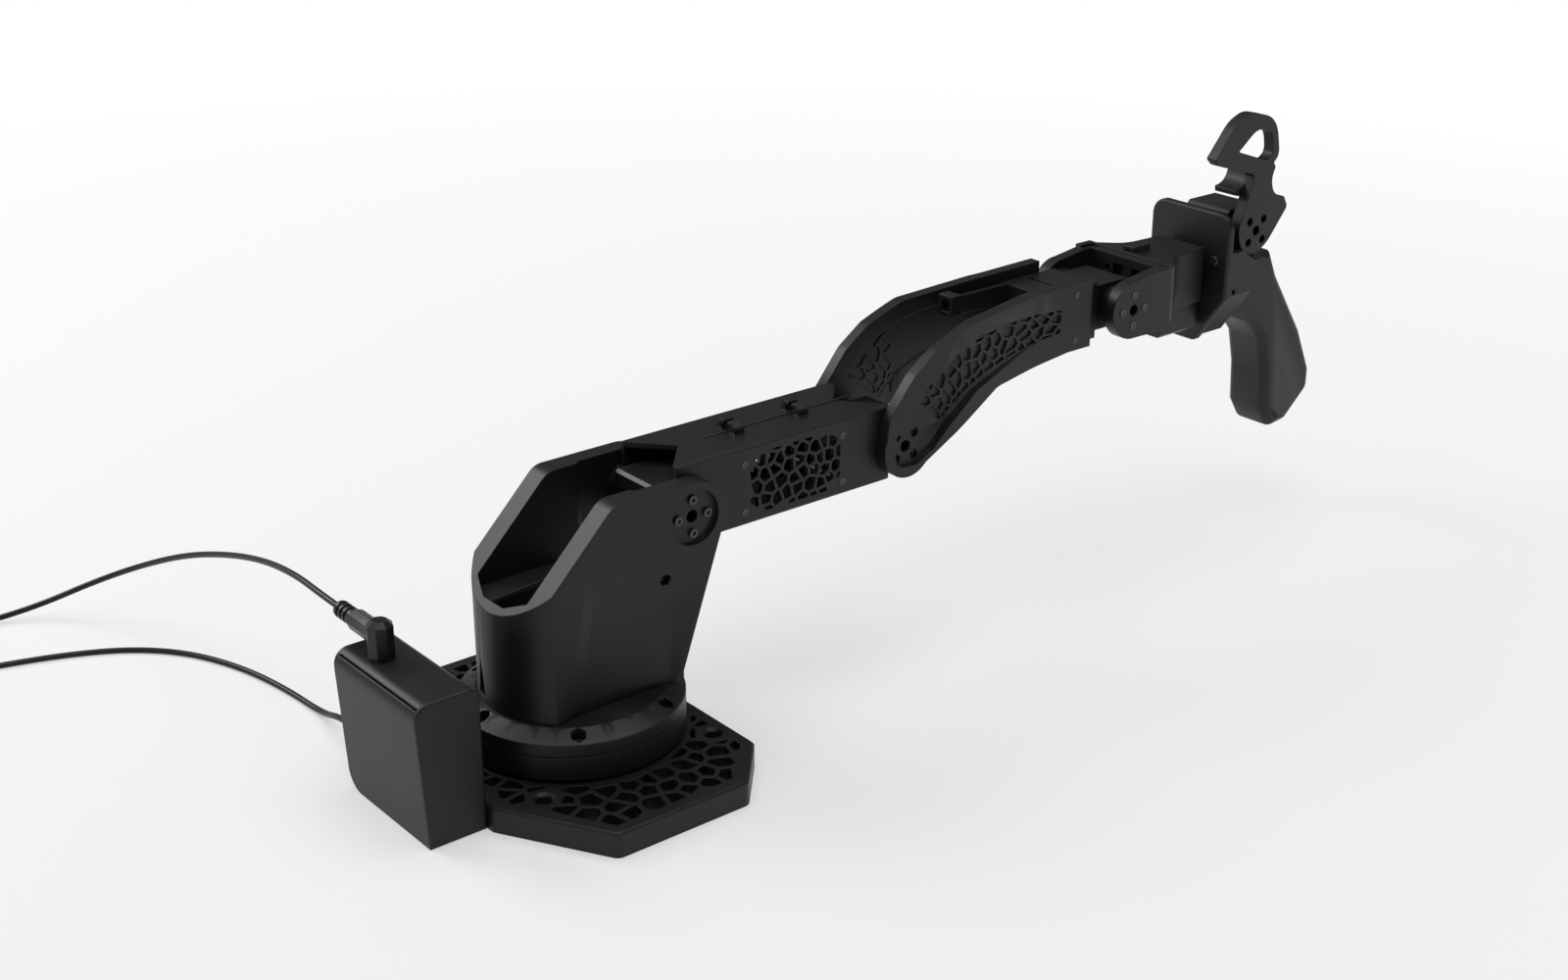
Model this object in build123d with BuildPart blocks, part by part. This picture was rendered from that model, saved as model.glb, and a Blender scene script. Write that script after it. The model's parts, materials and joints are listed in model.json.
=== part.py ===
from build123d import *
from math import cos, floor, pi, radians, sin, tan
import os

# Hand-guided robot arm on a bolted base, with a pistol handle and a finger trigger.
# Millimetres. Origin on the base axis at the underside of the base plate.
# X points along the outstretched arm, Y to its left, Z up.

# Fits
seat_gap = 0.2
running_gap = 0.3
shaft_gap = 0.05

# Base plate
plate_thickness = 15.0
plate_half_width = 112.0
plate_front = 69.0
plate_front_flat = 80.0
plate_front_knee = 39.7
plate_rear = -84.0
plate_rear_flat = 47.7
plate_rear_knee = -46.8
plate_corner_radius = 6.0
plate_edge = 1.2
plate_margin = 8.0
bolt_spacing = 114.0
bolt_hole_radius = 4.5
bolt_rim_radius = 6.2
cell_pitch = 12.5
cell_rib = 3.0

# Slewing ring
ring_radius = 65.0
ring_pedestal = 1.7
ring_height = 14.0
ring_screw_circle = 57.0
race_height = 8.0
race_inner_radius = 43.0
race_outer_radius = 52.0
race_wall = 3.0
spigot_wall = 2.5
turntable_rim = 7.5
turntable_rise = 5.0
turntable_top_radius = 54.0
turntable_web = 2.7
notch_count = 6
notch_circle = 58.5
notch_radius = 4.6

# Servo motors, all of one size, and their horns
servo_length = 50.0
servo_back = 14.0
servo_height = 30.0
servo_width = 36.0
servo_edge = 2.0
horn_radius = 12.5
horn_thickness = 4.0
horn_circle = 20.0
stub_radius = 3.0
stub_length = 5.0
screw_radius = 1.5
screw_head_radius = 2.75
screw_head_height = 1.6

# Turret
turret_half_width = 38.75
turret_radius = 52.0
turret_floor = 4.0
turret_thick_wall = 14.0
turret_thin_wall = 11.15
turret_step = 26.0
turret_slope_offset = 155.2
shoulder_x = 60.8
shoulder_z = 140.6
shoulder_radius = 21.3
horn_recess_radius = 16.1
horn_recess_depth = 3.0
panel_screw_depth = 6.0

# Upper arm
arm_length = 162.0
arm_half_width = 26.7
arm_below = 20.9
arm_above = 26.8
arm_wall = 3.2
arm_rear = -3.6
arm_front = -8.8
arm_notch_depth = 21.0
horn_hole_radius = 13.6
standoff_radius = 3.0
standoff_x = (44.2, 117.0)
standoff_z = (-12.7, 16.4)

# Forearm
forearm_run = 190.8
forearm_rise = 46.7
forearm_inner = 27.3
forearm_plate = 7.7
forearm_end_inner = 19.9
forearm_end = 160.6
forearm_elbow_radius = 19.0
forearm_web_y = 31.6
forearm_screw_seat = 28.0
forearm_recess = 1.0
cell_depth = 1.4
band_pitch = 9.5
band_rib = 2.0

# Wrist bracket
cheek_inner = 28.0
cheek_thickness = 8.0
cheek_radius = 19.0
neck_half_width = 20.5
neck_front = 500.8

# Handle
handle_plate_x = 505.0
handle_plate_thickness = 5.0
handle_half_width = 34.0
handle_top = 232.0
handle_knee = 174.0
handle_bottom = 140.0
handle_screw_y = 24.5
handle_screw_rise = 13.0
grip_half_width = 17.0
grip_wall = 3.0
grip_edge = 6.5
trigger_x = 538.7
trigger_z = 215.5
trigger_thickness = 8.0

# Controller box and leads
box_half_length = 43.0
box_depth = 35.0
box_top = 86.0
box_wall = 2.4
box_cover = 2.0
box_front_edge = 7.0
box_rear_edge = 9.0
cord_diameter = 3.8
coil_turn_radius = 22.0
coil_spacing = 3.9
coil_height = 7.8

# Places worked out from the sizes above
servo_front = servo_length - servo_back
ring_base = plate_thickness + ring_pedestal
ring_top = ring_base + ring_height
turntable_base = ring_top + running_gap
turntable_rim_z = turntable_base + turntable_rim
turret_base = turntable_rim_z + turntable_rise
web_base = turret_base - turntable_web
yaw_servo_top = web_base - horn_thickness - seat_gap
turret_thick_inner = turret_half_width - turret_thick_wall
turret_thin_inner = turret_half_width - turret_thin_wall
elbow_x = shoulder_x + arm_length
elbow_z = shoulder_z
wrist_x = elbow_x + forearm_run
wrist_z = elbow_z + forearm_rise
horn_face = servo_width / 2 + seat_gap + horn_thickness
forearm_outer = forearm_inner + forearm_plate
cheek_outer = cheek_inner + cheek_thickness
side_names = {-1: "near", 1: "far"}

os.makedirs("parts", exist_ok=True)


def save(name, piece):
    """Label a finished piece and write its file."""
    piece.part.label = name
    export_step(piece.part, f"parts/{name}.step")


def side_plane(x, y, z, side):
    """Plane on a joint axis, facing outward to the near (-1) or far (1) side, local x along X."""
    return Plane(origin=(x, y, z), x_dir=(1, 0, 0), z_dir=(0, side, 0))


def xz_plane(y=0.0):
    """Plane of the side view at the given Y, with local x along X and local y along Z."""
    return Plane(origin=(0, y, 0), x_dir=(1, 0, 0), z_dir=(0, -1, 0))


def clip(polygon, nx, ny, limit):
    """Part of a convex polygon where nx * x + ny * y stays under the limit."""
    kept = []
    for (ax, ay), (bx, by) in zip(polygon, polygon[1:] + polygon[:1]):
        a = nx * ax + ny * ay - limit
        b = nx * bx + ny * by - limit
        if a <= 0:
            kept.append((ax, ay))
        if a * b < 0:
            t = a / (a - b)
            kept.append((ax + t * (bx - ax), ay + t * (by - ay)))
    return kept


def area(polygon):
    """Area of a polygon, from its corners."""
    pairs = zip(polygon, polygon[1:] + polygon[:1])
    return abs(sum(ax * by - bx * ay for (ax, ay), (bx, by) in pairs)) / 2


def irregular_cells(x_span, y_span, pitch, rib, edges=(), discs=(), least=6.0):
    """Corner lists of irregular cells that share out a rectangle, with a rib between neighbours.

    Each edge (nx, ny, limit) keeps the cells on the side where nx * x + ny * y is under the limit,
    and each disc (x, y, radius) is left free of cells. Cells under the least area are dropped.
    """
    columns = round((x_span[1] - x_span[0]) / pitch) + 1
    rows = round((y_span[1] - y_span[0]) / pitch) + 1
    seeds = []
    for i in range(-1, columns + 1):
        for j in range(-1, rows + 1):
            shift = sin(12.9898 * i + 78.233 * j) * 43758.5453
            spin = sin(39.3461 * i + 11.135 * j) * 24634.6345
            x = x_span[0] + (i + 0.5 * (j % 2) + 0.62 * (shift - floor(shift) - 0.5)) * pitch
            y = y_span[0] + (j + 0.62 * (spin - floor(spin) - 0.5)) * pitch
            seeds.append((x, y))
    cells = []
    for sx, sy in seeds:
        reach = 1.2 * pitch
        cell = [(sx - reach, sy - reach), (sx + reach, sy - reach)]
        cell += [(sx + reach, sy + reach), (sx - reach, sy + reach)]
        for ox, oy in seeds:
            distance = ((ox - sx) ** 2 + (oy - sy) ** 2) ** 0.5
            if 0 < distance < 2.6 * pitch:
                nx = (ox - sx) / distance
                ny = (oy - sy) / distance
                cell = clip(cell, nx, ny, nx * sx + ny * sy + distance / 2 - rib / 2)
        for nx, ny, limit in edges:
            cell = clip(cell, nx, ny, limit)
        for cx, cy, radius in discs:
            distance = ((sx - cx) ** 2 + (sy - cy) ** 2) ** 0.5
            nx = (cx - sx) / distance
            ny = (cy - sy) / distance
            cell = clip(cell, nx, ny, nx * cx + ny * cy - radius)
        if len(cell) > 2 and area(cell) > least:
            cells.append(cell)
    return cells


def inset_edges(polygon, inset):
    """Edges of a convex polygon, listed anticlockwise, moved inward and given as clipping limits."""
    edges = []
    for (ax, ay), (bx, by) in zip(polygon, polygon[1:] + polygon[:1]):
        length = ((bx - ax) ** 2 + (by - ay) ** 2) ** 0.5
        nx = (by - ay) / length
        ny = (ax - bx) / length
        edges.append((nx, ny, nx * ax + ny * ay - inset))
    return edges


def servo(axis_plane):
    """Servo body: output along the plane's z, case along its x, bored for both stub shafts."""
    with BuildPart() as case:
        with BuildSketch(axis_plane.offset(-servo_width / 2)):
            with Locations((servo_length / 2 - servo_back, 0)):
                Rectangle(servo_length, servo_height)
        extrude(amount=servo_width)
        chamfer(case.edges().filter_by(Axis(axis_plane.origin, axis_plane.z_dir)), servo_edge)
        for face in (-1, 1):
            with BuildSketch(axis_plane.offset(face * servo_width / 2)):
                Circle(stub_radius + shaft_gap)
            extrude(amount=-face * (stub_length + 0.5), mode=Mode.SUBTRACT)
    return case


def horn(axis_plane, first_angle=0):
    """Horn disc with its stub shaft; the plane lies on the servo's face."""
    with BuildPart() as disc:
        with BuildSketch(axis_plane.offset(seat_gap)):
            Circle(horn_radius)
        extrude(amount=horn_thickness)
        with BuildSketch(axis_plane.offset(-stub_length)):
            Circle(stub_radius)
        extrude(amount=stub_length + seat_gap)
        with BuildSketch(axis_plane.offset(seat_gap + horn_thickness)):
            with PolarLocations(horn_circle / 2, 4, start_angle=first_angle):
                Circle(screw_radius)
        extrude(amount=-horn_thickness + 0.8, mode=Mode.SUBTRACT)
    return disc


def screws(head_planes, length, head_radius=screw_head_radius, head_height=screw_head_height):
    """Group of cap screws: each plane lies under a head and faces out of the joint."""
    with BuildPart() as group:
        for plane in head_planes:
            with BuildSketch(plane):
                Circle(head_radius)
            extrude(amount=head_height)
            with BuildSketch(plane.offset(head_height)):
                RegularPolygon(head_radius * 0.5, 6)
            extrude(amount=-head_height * 0.6, mode=Mode.SUBTRACT)
            with BuildSketch(plane):
                Circle(screw_radius)
            extrude(amount=-length)
    return group


def horn_screw_planes(axis_plane, seat, first_angle=0):
    """Planes of the four screws of a horn, at the given height above the axis plane."""
    planes = []
    for turn in range(4):
        angle = radians(first_angle + 90 * turn)
        spot = axis_plane.offset(seat)
        spot.origin = spot.from_local_coords((horn_circle / 2 * cos(angle), horn_circle / 2 * sin(angle), 0))
        planes.append(spot)
    return planes


# Base plate with bolt holes, cells and a pocket for the yaw servo
plate_outline = [
    (plate_front, -plate_front_flat),
    (plate_front, plate_front_flat),
    (plate_front_knee, plate_half_width),
    (plate_rear_knee, plate_half_width),
    (plate_rear, plate_rear_flat),
    (plate_rear, -plate_rear_flat),
    (plate_rear_knee, -plate_half_width),
    (plate_front_knee, -plate_half_width),
]
plate_discs = [(0, 0, ring_radius + 2.5)]
for x in (-bolt_spacing / 2, bolt_spacing / 2):
    for y in (-bolt_spacing / 2, bolt_spacing / 2):
        plate_discs.append((x, y, bolt_rim_radius + 4.0))
plate_cells = irregular_cells(
    (plate_rear, plate_front), (-plate_half_width, plate_half_width), cell_pitch, cell_rib,
    inset_edges(plate_outline, plate_margin), plate_discs, 14.0,
)
plate_openings = [Polygon(*cell, align=None) for cell in plate_cells]
with BuildPart() as base_plate:
    with BuildSketch() as outline:
        Polygon(*plate_outline, align=None)
        fillet(outline.vertices(), plate_corner_radius)
        add(plate_openings, mode=Mode.SUBTRACT)
        with Locations((servo_length / 2 - servo_back, 0)):
            Rectangle(servo_length + 2 * seat_gap, servo_height + 2 * seat_gap, mode=Mode.SUBTRACT)
    extrude(amount=plate_thickness)
    chamfer(base_plate.faces().sort_by(Axis.Z)[-1].outer_wire().edges(), plate_edge)
    with Locations(Plane.XY.offset(plate_thickness)):
        with GridLocations(bolt_spacing, bolt_spacing, 2, 2):
            CounterSinkHole(bolt_hole_radius, bolt_rim_radius, counter_sink_angle=90)
    with Locations(Plane.XY.rotated((180, 0, 0))):
        with PolarLocations(ring_screw_circle, 4, start_angle=45):
            CounterBoreHole(screw_radius + 0.1, screw_head_radius + 0.3, 3.0)
save("base_plate", base_plate)

# Fixed ring on the plate, with the seat of the outer race
race_seat = ring_top - race_height - 2.0
spigot_radius = race_inner_radius - spigot_wall
with BuildPart() as fixed_ring:
    with BuildSketch(Plane.XZ):
        with BuildLine():
            Polyline(
                (spigot_radius, plate_thickness),
                (ring_radius - 3.0, plate_thickness),
                (ring_radius - 3.0, ring_base),
                (ring_radius, ring_base),
                (ring_radius, ring_top),
                (race_outer_radius, ring_top),
                (race_outer_radius, race_seat),
                (race_outer_radius - race_wall, race_seat),
                (race_outer_radius - race_wall, ring_base + 1.5),
                (spigot_radius, ring_base + 1.5),
                close=True,
            )
        make_face()
    revolve(axis=Axis.Z)
    with BuildSketch(Plane.XY.offset(plate_thickness)):
        with PolarLocations(ring_screw_circle, 4, start_angle=45):
            Circle(screw_radius)
    extrude(amount=ring_height - 4.0, mode=Mode.SUBTRACT)
save("fixed_ring", fixed_ring)

ring_screw_planes = []
for turn in range(4):
    angle = radians(45 + 90 * turn)
    spot = (ring_screw_circle * cos(angle), ring_screw_circle * sin(angle), 3.0)
    ring_screw_planes.append(Plane(origin=spot, x_dir=(1, 0, 0), z_dir=(0, 0, -1)))
save("fixed_ring_screws", screws(ring_screw_planes, plate_thickness + ring_height - 8.0))

# Bearing between the fixed ring and the turntable
with BuildPart() as bearing_outer_race:
    with BuildSketch(Plane.XY.offset(race_seat)):
        Circle(race_outer_radius)
        Circle(race_outer_radius - race_wall, mode=Mode.SUBTRACT)
    extrude(amount=race_height)
save("bearing_outer_race", bearing_outer_race)

with BuildPart() as bearing_inner_race:
    with BuildSketch(Plane.XY.offset(race_seat)):
        Circle(race_inner_radius + race_wall)
        Circle(race_inner_radius, mode=Mode.SUBTRACT)
    extrude(amount=race_height)
save("bearing_inner_race", bearing_inner_race)

with BuildPart() as bearing_cage:
    with BuildSketch(Plane.XY.offset(race_seat + 1.0)):
        Circle(race_outer_radius - race_wall - running_gap)
        Circle(race_inner_radius + race_wall + running_gap, mode=Mode.SUBTRACT)
    extrude(amount=race_height - 2.0)
save("bearing_cage", bearing_cage)

# Yaw servo standing in the plate's pocket, and its horn under the turntable
yaw_plane = Plane(origin=(0, 0, yaw_servo_top), x_dir=(1, 0, 0), z_dir=(0, 0, 1))
save("yaw_servo", servo(yaw_plane.offset(-servo_width / 2)))
save("yaw_horn", horn(yaw_plane))

# Turntable: the turning ring with its sloped band, screw notches and spigot
notch_floor = turntable_rim_z - 3.5
with BuildPart() as turntable:
    with BuildSketch(Plane.XZ):
        with BuildLine():
            Polyline(
                (spigot_radius, race_seat),
                (race_inner_radius, race_seat),
                (race_inner_radius, race_seat + race_height),
                (race_inner_radius + race_wall, race_seat + race_height),
                (race_inner_radius + race_wall, turntable_base),
                (ring_radius, turntable_base),
                (ring_radius, turntable_rim_z),
                (turntable_top_radius, turret_base),
                (0, turret_base),
                (0, web_base),
                (race_inner_radius + 4.0, web_base),
                (race_inner_radius + 4.0, turntable_base + 3.0),
                (spigot_radius, turntable_base + 3.0),
                close=True,
            )
        make_face()
    revolve(axis=Axis.Z)
    with BuildSketch(Plane.XY.offset(notch_floor)):
        with PolarLocations(notch_circle, notch_count):
            RegularPolygon(notch_radius, 6)
    extrude(amount=12.0, mode=Mode.SUBTRACT)
    with BuildSketch(Plane.XY.offset(notch_floor)):
        with PolarLocations(notch_circle, notch_count):
            Circle(screw_radius)
    extrude(amount=-3.0, mode=Mode.SUBTRACT)
    with BuildSketch(Plane.XY.offset(web_base)):
        with PolarLocations(horn_circle / 2, 4):
            Circle(screw_radius)
    extrude(amount=turntable_web, mode=Mode.SUBTRACT)
save("turntable", turntable)

notch_planes = []
for turn in range(notch_count):
    angle = radians(360 / notch_count * turn)
    spot = (notch_circle * cos(angle), notch_circle * sin(angle), notch_floor)
    notch_planes.append(Plane(origin=spot, x_dir=(1, 0, 0), z_dir=(0, 0, 1)))
save("turntable_screws", screws(notch_planes, 3.0, head_height=2.4))
yaw_screw_seat = seat_gap + horn_thickness + turntable_web
save("yaw_horn_screws", screws(horn_screw_planes(yaw_plane, yaw_screw_seat), turntable_web + 3.0))

# Turret shell: round back, two shoulder plates, open front
profile_top = shoulder_z + shoulder_radius
with BuildPart() as turret_shell:
    with BuildSketch(Plane.XY.offset(turret_base)):
        Circle(turret_radius)
        with Locations((shoulder_x, 0)):
            Rectangle(2 * shoulder_x, 2 * turret_half_width)
        Rectangle(300, 2 * turret_half_width, mode=Mode.INTERSECT)
    extrude(amount=profile_top - turret_base + 1.0)
    with BuildSketch(xz_plane(turret_half_width)) as side_view:
        with BuildLine():
            arc = CenterArc((shoulder_x, shoulder_z), shoulder_radius, -20, 110)
            Polyline(
                arc @ 1,
                (profile_top - turret_slope_offset, profile_top),
                (-turret_radius - 1.0, turret_slope_offset - turret_radius - 1.0),
                (-turret_radius - 1.0, turret_base),
                (51.0, turret_base),
                (51.0, turret_base + 5.5),
                arc @ 0,
            )
        make_face()
        knees = side_view.vertices().filter_by(lambda v: abs(v.Y - profile_top) < 0.1 and v.X < 20)
        fillet(knees, 12.0)
    extrude(amount=2 * turret_half_width, mode=Mode.INTERSECT)
    with BuildSketch(Plane.XY.offset(turret_base + turret_floor)):
        with BuildLine():
            Polyline(
                (-turret_radius + 4.5, -10.0),
                (-turret_radius + 4.5, 10.0),
                (-41.5, turret_thick_inner),
                (turret_step, turret_thick_inner),
                (turret_step + 3.0, turret_thin_inner),
                (100.0, turret_thin_inner),
                (100.0, -turret_thin_inner),
                (turret_step + 3.0, -turret_thin_inner),
                (turret_step, -turret_thick_inner),
                (-41.5, -turret_thick_inner),
                close=True,
            )
        make_face()
    extrude(amount=200.0, mode=Mode.SUBTRACT)
    with BuildSketch(Plane.XY.offset(turret_base)):
        Circle(horn_radius + 2.0)
    extrude(amount=turret_floor, mode=Mode.SUBTRACT)
    with BuildSketch(Plane(origin=(-turret_radius - 8.0, 0, 0), x_dir=(0, 1, 0), z_dir=(1, 0, 0))):
        Polygon((11.5, 70.0), (7.0, turret_base + 4.0), (16.0, turret_base + 4.0), align=None)
    extrude(amount=20.0, mode=Mode.SUBTRACT)
    for side in (-1, 1):
        with BuildSketch(xz_plane(side * turret_half_width)):
            Polygon(
                (-12, 125), (42.5, 123), (65.5, 102.5), (47.5, 50), (44, turret_base), (-31, turret_base),
                align=None,
            )
        with BuildSketch(xz_plane(side * (turret_half_width - 2.5))):
            Polygon(
                (-5, 111.5), (32, 109.5), (46, 94), (43.5, 50), (42, turret_base), (-19, turret_base),
                align=None,
            )
        loft(ruled=True, mode=Mode.SUBTRACT)
        axis_plane = side_plane(shoulder_x, 0, shoulder_z, side)
        with BuildSketch(axis_plane.offset(turret_thin_inner)):
            Circle(horn_radius - 0.1)
        extrude(amount=horn_face - turret_thin_inner)
        with BuildSketch(axis_plane.offset(turret_half_width)):
            Circle(horn_recess_radius)
        extrude(amount=-horn_recess_depth, mode=Mode.SUBTRACT)
        with BuildSketch(axis_plane.offset(turret_half_width)):
            Circle(3.7)
            with PolarLocations(horn_circle / 2, 4):
                Circle(screw_radius)
        extrude(amount=horn_face - turret_half_width, mode=Mode.SUBTRACT)
        with BuildSketch(side_plane(40.8, 0, 108.0, side).offset(turret_half_width)):
            RegularPolygon(3.6, 6)
        extrude(amount=-panel_screw_depth, mode=Mode.SUBTRACT)
        with BuildSketch(side_plane(40.8, 0, 108.0, side).offset(turret_half_width - panel_screw_depth)):
            Circle(screw_radius)
        extrude(amount=-5.0, mode=Mode.SUBTRACT)
save("turret_shell", turret_shell)

panel_planes = []
shoulder_planes = []
for side in (-1, 1):
    panel_planes.append(side_plane(40.8, 0, 108.0, side).offset(turret_half_width - panel_screw_depth))
    axis_plane = side_plane(shoulder_x, 0, shoulder_z, side)
    shoulder_planes += horn_screw_planes(axis_plane, turret_half_width - horn_recess_depth)
shoulder_screw_length = turret_half_width - horn_recess_depth - horn_face + 3.0
save("shoulder_screws", screws(shoulder_planes, shoulder_screw_length))
save("turret_panel_screws", screws(panel_planes, 4.0, 2.3, 0.8))

# Shoulder servo in the upper arm, with its horn and idler on the turret
shoulder_axis = side_plane(shoulder_x, 0, shoulder_z, -1)
save("shoulder_servo", servo(shoulder_axis))
save("shoulder_horn", horn(shoulder_axis.offset(servo_width / 2)))
save("shoulder_idler", horn(side_plane(shoulder_x, 0, shoulder_z, 1).offset(servo_width / 2)))

# Upper arm: two half shells with a seam on top, cells in the sides and cable clips
arm_bottom = shoulder_z - arm_below
arm_top = shoulder_z + arm_above
arm_start = shoulder_x + arm_rear
arm_end = elbow_x + arm_front
arm_inner = arm_half_width - arm_wall
clip_height = 6.5
panel_outline = [
    (109, 133), (118, 125), (167, 125), (176, 133), (176, 154), (167, 162), (118, 162), (109, 154),
]
arm_cells = irregular_cells((108, 177), (124, 164), 8.0, 2.0, inset_edges(panel_outline, 0), (), 7.0)
arm_openings = [Polygon(*cell, align=None) for cell in arm_cells]
for side in (-1, 1):
    with BuildPart() as half_shell:
        with BuildSketch(xz_plane(0)):
            with Locations(((arm_start + arm_end) / 2, (arm_top + arm_bottom) / 2)):
                Rectangle(arm_end - arm_start, arm_top - arm_bottom)
        extrude(amount=-side * arm_half_width)
        chamfer(half_shell.faces().sort_by(Axis.Y)[-1 if side > 0 else 0].edges().filter_by(Axis.X), 1.2)
        with BuildSketch(xz_plane(0)):
            with Locations(((arm_start + arm_end) / 2, (arm_top + arm_bottom) / 2)):
                Rectangle(arm_end - arm_start, arm_top - arm_bottom - 2 * arm_wall)
        extrude(amount=-side * arm_inner, mode=Mode.SUBTRACT)
        with BuildSketch(Plane.XY.offset(arm_bottom)):
            Polygon(
                (arm_start, 0), (arm_start + arm_notch_depth, 0), (arm_start, side * arm_inner), align=None
            )
            Polygon((arm_end, 0), (arm_end - arm_notch_depth, 0), (arm_end, side * arm_inner), align=None)
        extrude(amount=arm_top - arm_bottom, mode=Mode.SUBTRACT)
        for start, stop in ((shoulder_x + 18.0, shoulder_x + 32.0), (elbow_x - 32.0, elbow_x - 20.0)):
            with BuildSketch(xz_plane(side * arm_inner)):
                with Locations(((start + stop) / 2, shoulder_z)):
                    Rectangle(stop - start, servo_height - 4.0)
            extrude(amount=side * (arm_inner - servo_width / 2))
        with BuildSketch(xz_plane(side * arm_inner)):
            with Locations((shoulder_x, shoulder_z), (elbow_x, elbow_z)):
                Circle(horn_hole_radius)
        extrude(amount=-side * arm_wall, mode=Mode.SUBTRACT)
        with BuildSketch(xz_plane(side * arm_inner)):
            add(arm_openings)
        extrude(amount=-side * arm_wall, mode=Mode.SUBTRACT)
        for x in (shoulder_x + 54.8, shoulder_x + 102.2):
            with BuildSketch(Plane(origin=(x - 3.5, 0, 0), x_dir=(0, 1, 0), z_dir=(1, 0, 0))):
                with BuildLine():
                    Polyline(
                        (side * 3.2, arm_top),
                        (side * 8.5, arm_top),
                        (side * 8.5, arm_top + 4.0),
                        (side * 5.5, arm_top + clip_height),
                        (side * 1.6, arm_top + clip_height),
                        (side * 1.6, arm_top + clip_height - 2.2),
                        (side * 4.0, arm_top + clip_height - 2.2),
                        (side * 4.6, arm_top + 3.2),
                        close=True,
                    )
                make_face()
            extrude(amount=7.0)
        with BuildSketch(xz_plane(side * arm_inner)):
            for x in standoff_x:
                for z in standoff_z:
                    with Locations((shoulder_x + x, shoulder_z + z)):
                        Circle(screw_radius)
        extrude(amount=-side * arm_wall, mode=Mode.SUBTRACT)
    save(f"upper_arm_{side_names[side]}_shell", half_shell)

with BuildPart() as arm_standoffs:
    for x in standoff_x:
        for z in standoff_z:
            with BuildSketch(xz_plane(arm_inner)):
                with Locations((shoulder_x + x, shoulder_z + z)):
                    Circle(standoff_radius)
                    Circle(screw_radius, mode=Mode.SUBTRACT)
            extrude(amount=2 * arm_inner)
save("arm_standoffs", arm_standoffs)

standoff_planes = []
for side in (-1, 1):
    for x in standoff_x:
        for z in standoff_z:
            standoff_planes.append(side_plane(shoulder_x + x, side * arm_half_width, shoulder_z + z, side))
save("upper_arm_screws", screws(standoff_planes, 10.0, 2.3, 0.3))

# Elbow servo in the upper arm's end, with its horn and idler on the forearm
elbow_axis = Plane(origin=(elbow_x, 0, elbow_z), x_dir=(-1, 0, 0), z_dir=(0, -1, 0))
save("elbow_servo", servo(elbow_axis))
save("elbow_horn", horn(elbow_axis.offset(servo_width / 2), 45))
save("elbow_idler", horn(side_plane(elbow_x, 0, elbow_z, 1).offset(servo_width / 2), 45))

# Forearm plates: flared at the elbow, with a sunk band of cells and a flange below it
forearm_tip_x = elbow_x + forearm_end
end_top = wrist_z + 25.3
end_bottom = wrist_z - 19.8
plate_end_outer = forearm_end_inner + forearm_plate
flare_start = elbow_x + 42.0
flare_end = elbow_x + 112.0
band_start = (elbow_x + 17.0, elbow_z + 17.0)
band_bend = (elbow_x + 44.5, elbow_z + 51.0)
band_stop = (elbow_x + 133.0, elbow_z + 49.0)
band_length = 135.0


def band_point(along, across):
    """Point of the band, whose middle line is a parabola; across runs from -1 to 1."""
    t = along / band_length
    x = (1 - t) ** 2 * band_start[0] + 2 * t * (1 - t) * band_bend[0] + t ** 2 * band_stop[0]
    z = (1 - t) ** 2 * band_start[1] + 2 * t * (1 - t) * band_bend[1] + t ** 2 * band_stop[1]
    dx = (1 - t) * (band_bend[0] - band_start[0]) + t * (band_stop[0] - band_bend[0])
    dz = (1 - t) * (band_bend[1] - band_start[1]) + t * (band_stop[1] - band_bend[1])
    half = (15.0 - 7.0 * t * t) * across / (dx * dx + dz * dz) ** 0.5
    return (x - dz * half, z + dx * half)


def flare_view(near_line, far_line, side):
    """Outline seen from above of a wall that follows the flare between two distances from it."""
    corners = [
        (elbow_x - 30.0, near_line[0]),
        (flare_start, near_line[0]),
        (flare_end, near_line[1]),
        (forearm_tip_x + 10.0, near_line[1]),
        (forearm_tip_x + 10.0, far_line[1]),
        (flare_end, far_line[1]),
        (flare_start, far_line[0]),
        (elbow_x - 30.0, far_line[0]),
    ]
    return [(x, side * y) for x, y in corners]


band_cells = irregular_cells((0, band_length), (-13.0, 13.0), band_pitch, band_rib,
                             inset_edges([(2, -12), (band_length, -12), (band_length, 12), (2, 12)], 0))
band_openings = []
for cell in band_cells:
    corners = [band_point(along, across / 13.0) for along, across in cell]
    if area(corners) > 5.0:
        band_openings.append(Polygon(*corners, align=None))
sunk_outline = [
    (-12.9, -0.6), (-2.2, 17.1), (18.1, 33.9), (35.4, 49.0), (51.5, 57.5), (83.5, 59.5), (134.0, 57.0),
    (134.0, 40.0), (107.0, 39.2), (78.3, 29.9), (56.5, 22.5), (35.4, 8.0), (19.5, -6.2), (7.0, -12.5),
    (-6.0, -11.5),
]
sunk_edge = [(elbow_x + x, elbow_z + z) for x, z in sunk_outline]
recess_edge = [band_point(12.0 * step, 1.1) for step in range(12)]
recess_edge += [band_point(132.0 - 12.0 * step, -1.1) for step in range(12)]
web_outer = (forearm_web_y, plate_end_outer - 0.4)
web_inner = (forearm_inner + forearm_recess, forearm_end_inner + forearm_recess)
cell_floor = (web_outer[0] - cell_depth, web_outer[1] - cell_depth)
plate_screw_spots = [(forearm_tip_x - 14.0, wrist_z + 17.0), (forearm_tip_x - 14.0, wrist_z - 12.8)]
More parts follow.
